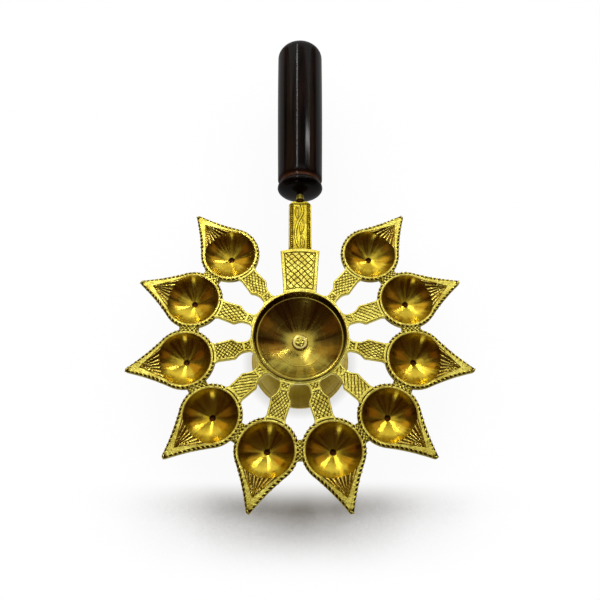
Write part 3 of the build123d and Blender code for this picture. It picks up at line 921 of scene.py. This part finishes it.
arm_start = hub_radius - 0.1
arm_seat = leaf_ring_radius - leaf_radius + 0.5
arm_neck_end = hub_radius + arm_neck_length
arm_shoulder = arm_neck_end + arm_shoulder_reach
neck_half = arm_neck_width / 2
shoulder_half = arm_shoulder_width / 2
seat_half = arm_leaf_width / 2
root_centre = (hub_radius + arm_root_fillet, neck_half + arm_root_fillet)
# The left side of an arm, as x and half width: root, neck, shoulder and the flare at the leaf
arm_side = np.vstack([
    swing(root_centre, arm_root_fillet, -pi, -pi / 2, 14),
    arc((arm_neck_end - 0.8, neck_half), (arm_shoulder - 0.6, shoulder_half - 0.5), -0.5, 8),
    arc((arm_shoulder - 0.5, shoulder_half - 0.4), (arm_shoulder + 1.4, shoulder_half - 0.15), 0.25, 6),
    arc((arm_seat - 2.6, seat_half - 0.05), (arm_seat, seat_half + 0.9), -0.35, 8),
])


def arm_surface(x, y, half):
    """The arm's top: a sunk panel at the root and a longer one beyond the neck, with dark edges."""
    side = step(half - np.abs(y), arm_border - 0.12, arm_border + 0.12)
    main = step(x, arm_neck_end - 0.3, arm_neck_end) * step(arm_seat - x, 1.0, 1.25)
    root = step(x, hub_radius + 0.5, hub_radius + 0.75) * step(arm_neck_end - 1.3 - x, 0.0, 0.25)
    share = side * np.maximum(main, root)
    line = 4 * share * (1 - share)
    return share * arm_panel_depth, np.maximum(0.12 * share, 0.75 * line), share


def arm_stations(count):
    """Stations from the hub's edge to the leaf's, bent at either end to meet them."""
    for x in np.linspace(arm_start, arm_seat, count):
        share = (x - arm_start) / (arm_seat - arm_start)

        def bend(y, share=share):
            at_hub = np.sqrt(hub_radius**2 - np.square(y)) - hub_radius
            at_leaf = leaf_radius - np.sqrt(leaf_radius**2 - np.square(y))
            return (1 - share) ** 4 * at_hub + share**4 * at_leaf
        yield x, float(np.interp(x, arm_side[:, 0], arm_side[:, 1])), bend


arm_blank = plank("arm", arm_stations(120), arm_surface, arm_thickness, leaf_brass, 65)
hand = np.random.RandomState(11)
single_stroke_arms = (4, 7, 9)
for number, angle in enumerate(leaf_angles, 1):
    name = f"arm_{number:02d}"
    lean = radians(hand.uniform(28, 46))
    crossing = 0.15 if number in single_stroke_arms else hand.uniform(0.6, 0.95)
    hatched = grow(arm_blank.copy(), hatched_panel, {
        "Pitch": hand.uniform(1.35, 1.6) * MM, "Cut width": arm_cut_width * MM, "Depth": arm_cut_depth * MM,
        "First lean": lean, "Second lean": -lean * hand.uniform(0.8, 1.2), "Second depth": crossing,
        "Wander": arm_cut_wander * MM, "Start": (hand.uniform(0, 1), hand.uniform(0, 1), 0.0),
        "Finish": leaf_brass})
    piece(f"{name}_cast", place(hatched, angle), "cast_brass", name)


# Links between neighbouring leaves

def link_mesh():
    """A small waisted web between two roped edges, crossed by cuts."""
    rows, dirt_and_shade = [], []
    under_dirt = 0.4
    across = np.linspace(-1, 1, 25)
    for x in np.linspace(-link_length / 2, link_length / 2, 61):
        half = (leaf_gap / 2 + leaf_radius - sqrt(leaf_radius**2 - x**2)) + 0.5
        end = step(link_length / 2 - abs(x), -0.2, 1.0)
        y = across * half
        lean = y * link_cut_slope
        one_way = np.abs((x + lean) / link_cut_pitch % 1 - 0.5)
        other_way = np.abs((x - lean) / link_cut_pitch % 1 - 0.5)
        cut = 1 - step(np.minimum(one_way, other_way) * link_cut_pitch, 0.06, 0.3)
        height = -0.25 - 0.3 * cut - 0.9 * (1 - end)
        bend = -0.6 * np.sign(x) * (1 - across**2) * step(abs(x), link_length / 2 - 1.5, link_length / 2)
        top = np.stack([x + bend, y, height], axis=-1)
        under = np.array([(x, half, -link_height), (x, -half, -link_height)])
        rows.append(np.vstack([top, under]))
        dirt_and_shade.append(np.concatenate([np.maximum(cut, 0.2), [under_dirt, under_dirt]]))
    points = capped(np.array(rows), -link_height / 2)
    plain = np.full((1, points.shape[1]), under_dirt)
    return skin("link", points, [leaf_brass], None, np.vstack([plain, dirt_and_shade, plain]))


link = link_mesh()
for number, angle in enumerate(leaf_angles[:-1], 1):
    name = f"leaf_link_{number:02d}"
    piece(f"{name}_cast", place(link, angle + radians(leaf_pitch / 2), link_centre), "cast_brass", name)


# Hub ring and bowl

hub_section = [
    (hub_bore, -0.3), (hub_bore + 0.2, -0.05), (hub_bore + 0.45, 0.0), (hub_radius - 0.4, 0.0),
    (hub_radius - 0.1, -0.12), (hub_radius, -0.4), (hub_radius, -hub_height + 0.4),
    (hub_radius - 0.4, -hub_height), (hub_bore, -hub_height), (hub_bore, -0.3)]
hub_profile = [(radius, wheel_top + height) for radius, height in hub_section]
piece("hub_ring_cast", turned("hub_ring", hub_profile, leaf_brass, columns=180), "cast_brass", "hub_ring")

bowl_floor = wheel_top - bowl_floor_depth
collar_inner = bowl_seat_radius - bowl_collar_wall
dish_run = collar_inner - bowl_ledge - bowl_floor_radius
dish_depth = bowl_floor_depth - bowl_collar_depth
dish_chord = sqrt(dish_run**2 + dish_depth**2)
bowl_curve = (dish_chord**2 / 4 + bowl_dish_bulge**2) / (2 * bowl_dish_bulge)
curve_rise = (bowl_curve - bowl_dish_bulge) / dish_chord
curve_radius = bowl_floor_radius + dish_run / 2 - curve_rise * dish_depth
curve_height = bowl_floor + dish_depth / 2 + curve_rise * dish_run


def dish(radius, floor, reach, count):
    """A curve round the centre of the bowl's, from the height of a flat floor out to a reach."""
    angle = np.linspace(acos((curve_height - floor) / radius), asin((reach - curve_radius) / radius), count)
    return [(curve_radius + radius * sin(a), curve_height - radius * cos(a)) for a in angle]


def turned_lines(radius):
    """Depth of the two lines turned into the dish, at a radius."""
    return sum(bowl_line_depth * ridge(radius, line, bowl_line_width) for line in bowl_line_radii)


ledge = wheel_top - bowl_collar_depth
lip = wheel_top + bowl_lip_height
# Each ring of the bowl has its radius, its height and its dirt
inside = [(rivet_radius, bowl_floor, 0.2), (bowl_floor_radius * 0.7, bowl_floor, 0.2)]
for radius, height in dish(bowl_curve, bowl_floor, collar_inner - bowl_ledge, 150):
    rise = height - bowl_floor
    rounded = rise - (1 - rise / dish_depth) * rise * bowl_floor_round / (rise + bowl_floor_round)
    rounded = dish_depth - sqrt((dish_depth - rounded) ** 2 + bowl_edge_round**2)
    inside.append((radius, bowl_floor + rounded - turned_lines(radius), 4 * turned_lines(radius)))
edge = ledge - bowl_edge_round
collar = [
    (21.5, edge + 0.01, 0.0), (21.66, edge + 0.04, 0.0), (21.78, edge + 0.2, 0.6),
    (21.85, ledge + 0.6, 0.5), (22.2, ledge + 2.0, 0.5), (22.5, lip - 0.8, 0.45),
    (22.62, lip - 0.4, 0.4), (22.76, lip - 0.12, 0.0), (22.95, lip, 0.0), (23.15, lip - 0.02, 0.0),
    (23.32, lip - 0.12, 0.1), (23.4, lip - 0.35, 0.4), (23.38, lip - 0.7, 0.7),
    (23.2, lip - 0.95, 0.9), (bowl_seat_radius, lip - 0.95, 0.9)]
bowl_under = bowl_floor - bowl_wall
under_curve = dish(bowl_curve + bowl_wall, bowl_under, bowl_seat_radius, 28)
outside = [(radius, height, 0.1) for radius, height in under_curve[::-1]]
outside += [(rivet_radius, bowl_under, 0.1), inside[0]]
bowl_profile = np.array(inside + collar + outside)
bowl = turned("central_bowl", bowl_profile[:, :2], bowl_brass, recess=bowl_profile[:, 2], columns=200)
piece("central_bowl_turned", bowl, "turned_brass", "central_bowl")

# Washer and peened rivet in the bowl, washer and rivet head under the foot
washer_top = bowl_floor + washer_height
washer_profile = [
    (rivet_radius, washer_top), (3.3, washer_top), (3.75, washer_top - 0.08), (4.02, washer_top - 0.3),
    (washer_radius, washer_top - 0.6), (washer_radius, bowl_floor), (rivet_radius, bowl_floor),
    (rivet_radius, washer_top)]
# The washer is drawn darker at the rivet hole and down its side to the bowl's floor.
washer_darkening = [0.5, 0, 0, 0, 0.1, 0.4, 1, 0.5]
washer = turned("bowl_washer", washer_profile, washer_brass, recess=washer_darkening, columns=96)
piece("bowl_washer_turned", washer, "turned_brass", "bowl_washer")


def rivet_mesh():
    """The rivet's peened end, dented by the hammer, on its shank with a round head below."""
    columns = 72
    angle = np.arange(columns) * (2 * pi / columns)
    shank_radius = 1.95
    head_top = bowl_under - foot_web - foot_washer_height
    head_bottom = head_top - rivet_head_height
    top = [(0.0, 0.42), (0.4, 0.42), (0.8, 0.4), (1.2, 0.38), (1.6, 0.34), (2.0, 0.26), (2.3, 0.14),
           (2.45, 0.02)]
    low = [(shank_radius, washer_top), (shank_radius, head_top), (rivet_head_radius, head_top),
           (rivet_head_radius, head_top - 0.9), (3.3, head_top - 1.5), (2.7, head_bottom),
           (0.0, head_bottom)]
    rows, dirt_and_shade = [], []
    for radius, height in top:
        dent = 0.11 * np.sin(3 * angle + 2.1 * radius) + 0.08 * np.sin(5 * angle - 3 * radius + 1)
        dent = dent * min(1.0, radius) * (1 if radius < 2.3 else 0.2)
        rows.append((radius + 0.1 * np.sin(4 * angle) * (radius > 1.9), washer_top + height + dent))
        dirt_and_shade.append(np.clip(0.25 - 4 * dent, 0, 1))
    for radius, height in low:
        rows.append((radius + 0 * angle, height + 0 * angle))
        dirt_and_shade.append(0.3 + 0 * angle)
    points = np.array([np.stack([r * np.cos(angle), r * np.sin(angle), z], axis=-1) for r, z in rows])
    return skin("rivet", points, [leaf_brass], None, np.array(dirt_and_shade))


piece("centre_rivet_peened", rivet_mesh(), "turned_brass", "centre_rivet")

# Foot
foot_gap = 0.05
foot_top = bowl_under - foot_gap
flare_start = foot_rim_height + foot_step
flare_radius = foot_radius - foot_rim_width - foot_stem_radius
flare_top = flare_start + flare_radius
pad_curve = bowl_curve + bowl_wall + foot_gap
pad_edge = curve_height - sqrt(pad_curve**2 - (foot_pad_radius - curve_radius) ** 2)
hollow_top = foot_top - foot_web
hollow_radius = foot_stem_radius - foot_wall
rim_inner = foot_radius - foot_rim_width
flare_centre = (rim_inner, flare_top)
stem_line = [
    (foot_pad_radius, pad_edge - 0.5), (foot_stem_radius + 0.9, pad_edge - foot_pad_flare * 0.6),
    (foot_stem_radius + 0.15, pad_edge - foot_pad_flare), (foot_stem_radius, pad_edge - foot_pad_flare - 1)]
rim_line = [
    (rim_inner, foot_rim_height + 0.15), (rim_inner + 0.15, foot_rim_height),
    (foot_radius - 0.5, foot_rim_height), (foot_radius - 0.12, foot_rim_height - 0.15),
    (foot_radius, foot_rim_height - 0.5), (foot_radius, 0.4), (foot_radius - 0.3, 0.0),
    (rim_inner + 0.2, 0.0), (rim_inner, 0.2), (rim_inner, flare_start - foot_wall)]
web_line = [
    (hollow_radius, hollow_top - 0.3), (hollow_radius - 0.3, hollow_top), (rivet_radius, hollow_top),
    (rivet_radius, foot_top)]
foot_profile = (
    [(rivet_radius, foot_top)] + dish(pad_curve, foot_top, foot_pad_radius, 10)
    + stem_line
    + swing(flare_centre, flare_radius, pi, 1.5 * pi, 40).tolist()
    + rim_line
    + swing(flare_centre, flare_radius + foot_wall, 1.5 * pi, pi, 40).tolist()
    + web_line
)
piece("foot_turned", turned("foot", foot_profile, foot_brass, columns=160), "foot_brass", "foot")
foot_washer_bottom = hollow_top - foot_washer_height
foot_washer_profile = [
    (rivet_radius, hollow_top), (4.7, hollow_top), (foot_washer_radius, hollow_top - 0.3),
    (foot_washer_radius, hollow_top - 0.7), (4.7, foot_washer_bottom), (rivet_radius, foot_washer_bottom),
    (rivet_radius, hollow_top)]
foot_washer = turned("foot_washer", foot_washer_profile, foot_brass, columns=96)
piece("foot_washer_turned", foot_washer, "turned_brass", "foot_washer")


# Handle plate and bar

def toward_handle(mesh, height):
    """A mesh made along +X turned to lie along +Y, with its top at a height."""
    mesh.transform(Matrix.Translation((0, 0, height * MM)) @ Matrix.Rotation(pi / 2, 4, "Z"))
    return mesh


def plate_surface(x, y, half):
    """The plate's top: a panel for the lattice, inside a cut line along the border."""
    side = half - np.abs(y)
    start = x - hub_radius - 1.0
    end = plate_corner - plate_border + plate_arch * 0.9 - x
    rim = np.minimum(np.minimum(side - plate_border, start), end)
    panel = step(rim, -0.1, 0.2)
    line = ridge(rim, 0.1, 0.2)
    return 0.12 * panel + 0.3 * line, 0.9 * line, step(rim, 0.2, 0.5)


def plate_stations(count):
    """Stations from the hub's edge, which the plate follows, to the plate's arched end."""
    for x in np.linspace(hub_radius - 0.1, plate_crown, count):
        share = (x - hub_radius) / (plate_crown - hub_radius)
        half = plate_root_width / 2 + (plate_end_width - plate_root_width) / 2 * min(share, 1)

        def bend(y, share=share, half=half):
            at_hub = np.sqrt(hub_radius**2 - np.square(y)) - hub_radius
            at_end = plate_arch * np.square(np.asarray(y) / half)
            return (1 - share) ** 3 * at_hub - max(share, 0) ** 3 * at_end
        yield x, half, bend


plate = plank("plate", plate_stations(150), plate_surface, plate_thickness, leaf_brass, 121)
plate = grow(plate, hatched_panel, {
    "Pitch": lattice_pitch * MM, "Cut width": lattice_cut_width * MM, "Depth": lattice_cut_depth * MM,
    "First lean": radians(lattice_leans[0]), "Second lean": radians(lattice_leans[1]),
    "Second depth": 0.7, "Wander": lattice_cut_wander * MM, "Start": (0.2, 0.4, 0.0),
    "Finish": leaf_brass})
piece("handle_plate_cast", toward_handle(plate, wheel_top), "cast_brass", "handle_plate")

bar_start = plate_corner - bar_lap
stem_along = (0.0, 4.0, 7.5, 11.0, 15.5, 18.5, 21.0, 24.0, 27.0)
stem_across = (0.2, -1.7, -2.3, -2.4, -1.5, -0.2, 1.1, 1.5, 0.8)
vine_leaves = ((4.6, 1.2, -6, 4.2, 1.0), (13.4, 1.0, 8, 4.4, 1.05), (22.0, -1.6, -5, 3.8, 0.9))


def vine(along, across):
    """A carved vine, a long bent stem with three blades: how high it stands, and the dark line of its edge.

    Each blade has its middle along the bar and across it, its lean, its half length and its half width.
    """
    stem = np.abs(across - np.interp(along, stem_along, stem_across)) - 0.45
    rise = 1 - step(stem, -0.1, 0.3)
    line = ridge(stem, 0.25, 0.2)
    for middle, offset, lean, length, width in vine_leaves:
        lean = radians(lean)
        s = (along - middle) * cos(lean) + (across - offset) * sin(lean)
        t = -(along - middle) * sin(lean) + (across - offset) * cos(lean)
        blade = np.abs(t) - width * (1 - np.square(np.clip(s / length, -1.2, 1.2)))
        rise = np.maximum(rise, (1 - step(blade, -0.25, 0.15)) * (1 - 0.6 * ridge(t, 0.0, 0.15)))
        line = np.maximum(line, ridge(blade, 0.15, 0.2) * (np.abs(s) < length * 1.15))
    return rise, line


def bar_surface(x, y, half):
    """The bar's top: sunk under the plate, then the vine between two beaded borders."""
    under_plate = step(plate_corner - x, -0.6, -0.4)
    left, right = half - y, half + y
    start = x - plate_crown - 0.4
    end = bar_end - 1.3 - x
    edge = np.minimum(start, end)
    side = np.minimum(left, right)
    field = step(np.minimum(side - bar_vine_inset, edge), 0.0, 0.3)
    line = 0.7 * ridge(left, 0.8, 0.18) + ridge(right, 0.95, 0.25)
    line = np.maximum(line * (edge > 0), 0.8 * ridge(edge, 0.1, 0.2))
    rise, outline = vine(x - plate_crown, -y)
    depth = bar_vine_depth * field * (1 - rise) + 0.3 * line
    recess = np.maximum(line * 0.85, field * np.maximum(0.85 * outline, 0.22 * (1 - rise)))
    beaded = (np.abs(side - bead_inset) < 0.55) * (edge > 0.3)
    depth = depth + bead_sink * beaded
    recess = np.maximum(recess, 0.8 * beaded)
    deep = plate_thickness + 0.05 - bar_drop
    return depth * (1 - under_plate) + deep * under_plate, recess * (1 - under_plate), np.zeros_like(y)


def bar_stations(count):
    """A few stations under the plate, then a count of them to the bar's chamfered end."""
    hidden = np.linspace(bar_start, plate_corner + 0.3, 8)
    open_part = np.linspace(plate_corner + 0.4, bar_end, count)
    for x in np.concatenate([hidden, open_part]):
        half = bar_width / 2 - max(0.0, bar_chamfer - (bar_end - x))
        yield x, half, lambda y: 0.0 * np.asarray(y)


bar = plank("bar", bar_stations(230), bar_surface, bar_thickness, bar_brass, 91)
piece("handle_bar_cast", toward_handle(bar, wheel_top - bar_drop), "cast_brass", "handle_bar")


def make_bead_row():
    """Low round beads along lines."""
    tree, given, out = new_tree(
        "GeometryNodeTree", "bead row",
        [("Geometry", GEOMETRY, None), ("Pitch", VALUE, 0.0015), ("Bead size", VECTOR, None),
         ("Finish", MATERIAL, None)],
        [("Geometry", GEOMETRY)])
    points = points_along(tree, given["Geometry"], given["Pitch"])
    beads = add(tree, "GeometryNodeInstanceOnPoints", {
        "Points": points["Points"], "Instance": lobe(tree), "Scale": given["Bead size"]}).outputs[0]
    finish_tree(tree, beads, given["Finish"], out)
    return tree


bead_row = make_bead_row()
bead_x = bar_width / 2 - bead_inset
bead_height = wheel_top - bar_drop - bead_sink
bead_ends = [(x, y, bead_height) for x in (-bead_x, bead_x) for y in (plate_crown + 1.0, bar_end - 2.4)]
bead_lines = line_mesh("bead_lines", bead_ends, [(0, 1), (2, 3)])
beads = grow(bead_lines, bead_row, {
    "Pitch": bead_pitch * MM, "Bead size": tuple(size * MM for size in bead_size), "Finish": bar_brass})
piece("handle_bar_beads", beads, "cast_brass")


# Tang and wooden handle

tang_end = handle_start + tang_hold
tang_profile = [
    (0.0, bar_end - 0.6), (1.9, bar_end - 0.6), (2.5, bar_end - 0.3), (2.6, bar_end + 0.5),
    (2.3, bar_end + 1.0), (tang_radius, bar_end + 1.7), (tang_radius, bar_end + 2.2),
    (tang_radius, handle_start - 0.6), (tang_radius, handle_start + 3), (tang_radius, tang_end - 0.6),
    (1.5, tang_end), (0.0, tang_end)]
# Painted shadow: the tang is drawn dark from inside the bar to 1.7 mm past the bar's end, and a little
# darker again where it enters the handle.
tang_painted_shade = [0.8, 1.0, 1.0, 1.0, 1.0, 0.95, 0.1, 0.3, 0.9, 0.6, 0.6, 0.6]
tang = turned("tang", tang_profile, leaf_brass, recess=tang_painted_shade, columns=48, along_handle=True)
piece("tang_turned", tang, "turned_brass", "tang")

bead_crest = handle_start + handle_bead_length
groove_start = bead_crest + handle_bead_back
groove_end = groove_start + handle_groove_width
barrel_start = groove_end + handle_groove_slope
barrel_end = handle_end - handle_end_round
bore_radius = tang_radius + 0.05
bore_bottom = tang_end + 2.0
first_turn = asin(bore_radius / handle_bead_radius)
dome = [(handle_bead_radius * sin(t), bead_crest - handle_bead_length * cos(t))
        for t in np.linspace(first_turn, pi / 2, 24)]
bead = [(handle_bead_radius - 1.2 * t**2, bead_crest + handle_bead_back * t)
        for t in (0.3, 0.55, 0.75, 0.9, 1.0)]
groove = [
    (handle_groove_radius - 0.15, groove_start + 0.2), (handle_groove_radius - 0.2, groove_start + 0.9),
    (handle_groove_radius - 0.1, groove_end - 0.15), (handle_near_radius - 0.35, barrel_start - 0.2),
    (handle_near_radius - 0.08, barrel_start + 0.15)]
barrel = [(handle_near_radius + (handle_far_radius - handle_near_radius) * sin(t * pi / 2),
           barrel_start + 0.6 + (barrel_end - barrel_start - 0.6) * t) for t in np.linspace(0, 1, 30)]
end_width = handle_far_radius - handle_end_radius
crown = [(handle_end_radius + end_width * cos(t), barrel_end + handle_end_round * sin(t))
         for t in np.linspace(0.1, pi / 2, 16)]
end_face = [(handle_end_radius * 0.6, handle_end + 0.1), (0.0, handle_end + 0.15)]
bore = [(0.0, bore_bottom), (bore_radius, bore_bottom)]
before_groove = bore + dome + bead
after_groove = barrel + crown + end_face
handle_profile = before_groove + groove + after_groove
groove_tone = [0.9, 1.0, 0.9, 0.5, 0.0]
handle_tone = [0.0] * len(before_groove) + groove_tone + [0.0] * len(after_groove)
handle = turned("wooden_handle", handle_profile, rosewood, handle_tone, columns=120, along_handle=True)
piece("wooden_handle_turned", handle, "rosewood", "wooden_handle")


# Floor, camera and light

def floor_finish():
    """White paper: white to the eye, a little less in the metal, and shaded only near the object.

    The shade lies in a band under the front leaves, which fades in and out along Y, and round the foot.
    """
    fade_in = (-0.064, -0.081)
    fade_out = (-0.09, -0.116)
    foot_shade = (0.027, 0.035)
    material, tree = empty_material("white floor")
    paper = add(tree, "ShaderNodeBsdfDiffuse", {"Color": (0.42, 0.42, 0.42, 1.0)})
    white = add(tree, "ShaderNodeEmission", {"Color": (1.0, 1.0, 1.0, 1.0), "Strength": 1.0})
    open_sky = add(tree, "ShaderNodeAmbientOcclusion", {"Distance": 0.08, "Normal": (0.0, 0.3, 0.95)},
                   samples=24)
    shade = spread(tree, open_sky.outputs["AO"], 0.73, 0.99, 0.99, 0.0, soft=True)
    where = add(tree, "ShaderNodeTexCoord").outputs["Object"]
    forward = separate(tree, where)[1]
    near = spread(tree, forward, *fade_in, 0.05, 1.0, soft=True)
    near = maths(tree, "MULTIPLY", near, spread(tree, forward, *fade_out, 1.0, 0.04, soft=True))
    from_foot = add(tree, "ShaderNodeVectorMath", {0: where}, operation="LENGTH").outputs["Value"]
    near = maths(tree, "MAXIMUM", near, spread(tree, from_foot, *foot_shade, 0.3, 0.0, soft=True))
    path = add(tree, "ShaderNodeLightPath").outputs
    in_metal = maths(tree, "MAXIMUM", path["Is Glossy Ray"], path["Is Transmission Ray"])
    in_metal = maths(tree, "MULTIPLY", in_metal, 0.65)
    clear = maths(tree, "SUBTRACT", 1.0, maths(tree, "MULTIPLY", shade, near))
    to_eye = maths(tree, "MULTIPLY", path["Is Camera Ray"], clear)
    share = maths(tree, "MAXIMUM", to_eye, in_metal)
    mix = add(tree, "ShaderNodeMixShader", {0: share, 1: paper.outputs[0], 2: white.outputs[0]})
    add(tree, "ShaderNodeOutputMaterial", {"Surface": mix.outputs[0]})
    return material


floor = bpy.data.objects.new("floor", bpy.data.meshes.new("floor"))
floor_reach = 3.0
floor_height = -0.0002
floor_corners = [(x * floor_reach, y * floor_reach, floor_height)
                 for x, y in ((-1, -1), (1, -1), (1, 1), (-1, 1))]
floor.data.from_pydata(floor_corners, [], [(0, 1, 2, 3)])
floor.data.materials.append(floor_finish())
bpy.context.scene.collection.objects.link(floor)

camera = bpy.data.objects.new("camera", bpy.data.cameras.new("camera"))
camera.data.sensor_width = 36.0
camera.data.lens = 36.95
camera.data.clip_start = 0.01
camera.location = (0.0, -0.09699, 0.3348)
camera.rotation_euler = (radians(21.85), 0.0, 0.0)
bpy.context.scene.collection.objects.link(camera)
bpy.context.scene.camera = camera


def softbox(name, location, aim, width, height, power, tint=(1.0, 1.0, 1.0)):
    """A lit panel at a place, turned to face another place."""
    light = bpy.data.lights.new(name, "AREA")
    light.color = tint
    light.shape = "RECTANGLE"
    light.size, light.size_y = width, height
    light.energy = power
    lamp = bpy.data.objects.new(name, light)
    lamp.location = location
    lamp.rotation_euler = (Vector(aim) - Vector(location)).to_track_quat("-Z", "Y").to_euler()
    bpy.context.scene.collection.objects.link(lamp)


wheel_middle = (0, 0, 0.05)
wall_size = (0.45, 0.6)
softbox("back wall", (0.0, 1.0, 0.42), (0, 0, 0.1), 1.5, 0.7, 5.0)
softbox("top light", (0.0, 0.3, 0.95), (0, 0.3, 0.05), 1.05, 0.65, 2.5)
softbox("front lamp", (-0.12, -0.55, 0.2), wheel_middle, 0.1, 0.16, 0.1)
softbox("left strip", (-0.2, 0.74, 0.8), (-0.2, 0.74, 0.0), 0.04, 0.6, 3.2)
softbox("right strip", (0.5, 0.66, 0.66), (0.0, 0.66, 0.0), 0.04, 0.3, 1.7)
softbox("warm wall", (0.78, 0.66, 0.6), wheel_middle, *wall_size, 0.65, (1.0, 0.66, 0.34))
softbox("warm corner", (1.02, -0.06, 0.6), wheel_middle, *wall_size, 0.22, (1.0, 0.5, 0.2))
softbox("dim wall", (-0.78, 0.66, 0.6), wheel_middle, *wall_size, 0.75, (1.0, 0.66, 0.32))
softbox("dim corner", (-1.02, -0.06, 0.6), wheel_middle, *wall_size, 0.14, (1.0, 0.42, 0.14))

# The room is dim and warm where the metal mirrors it, and white to the eye
world = bpy.data.worlds.new("studio")
bpy.context.scene.world = world
world.use_nodes = True
room = world.node_tree
room.nodes.clear()
dim = add(room, "ShaderNodeBackground", {"Color": (1.0, 0.36, 0.2, 1.0), "Strength": 0.05})
plain = add(room, "ShaderNodeBackground", {"Color": (1.0, 1.0, 1.0, 1.0), "Strength": 1.0})
seen = add(room, "ShaderNodeLightPath").outputs["Is Camera Ray"]
backdrop = add(room, "ShaderNodeMixShader", {0: seen, 1: dim.outputs[0], 2: plain.outputs[0]})
add(room, "ShaderNodeOutputWorld", {"Surface": backdrop.outputs[0]})
bpy.context.scene.view_settings.view_transform = "Standard"
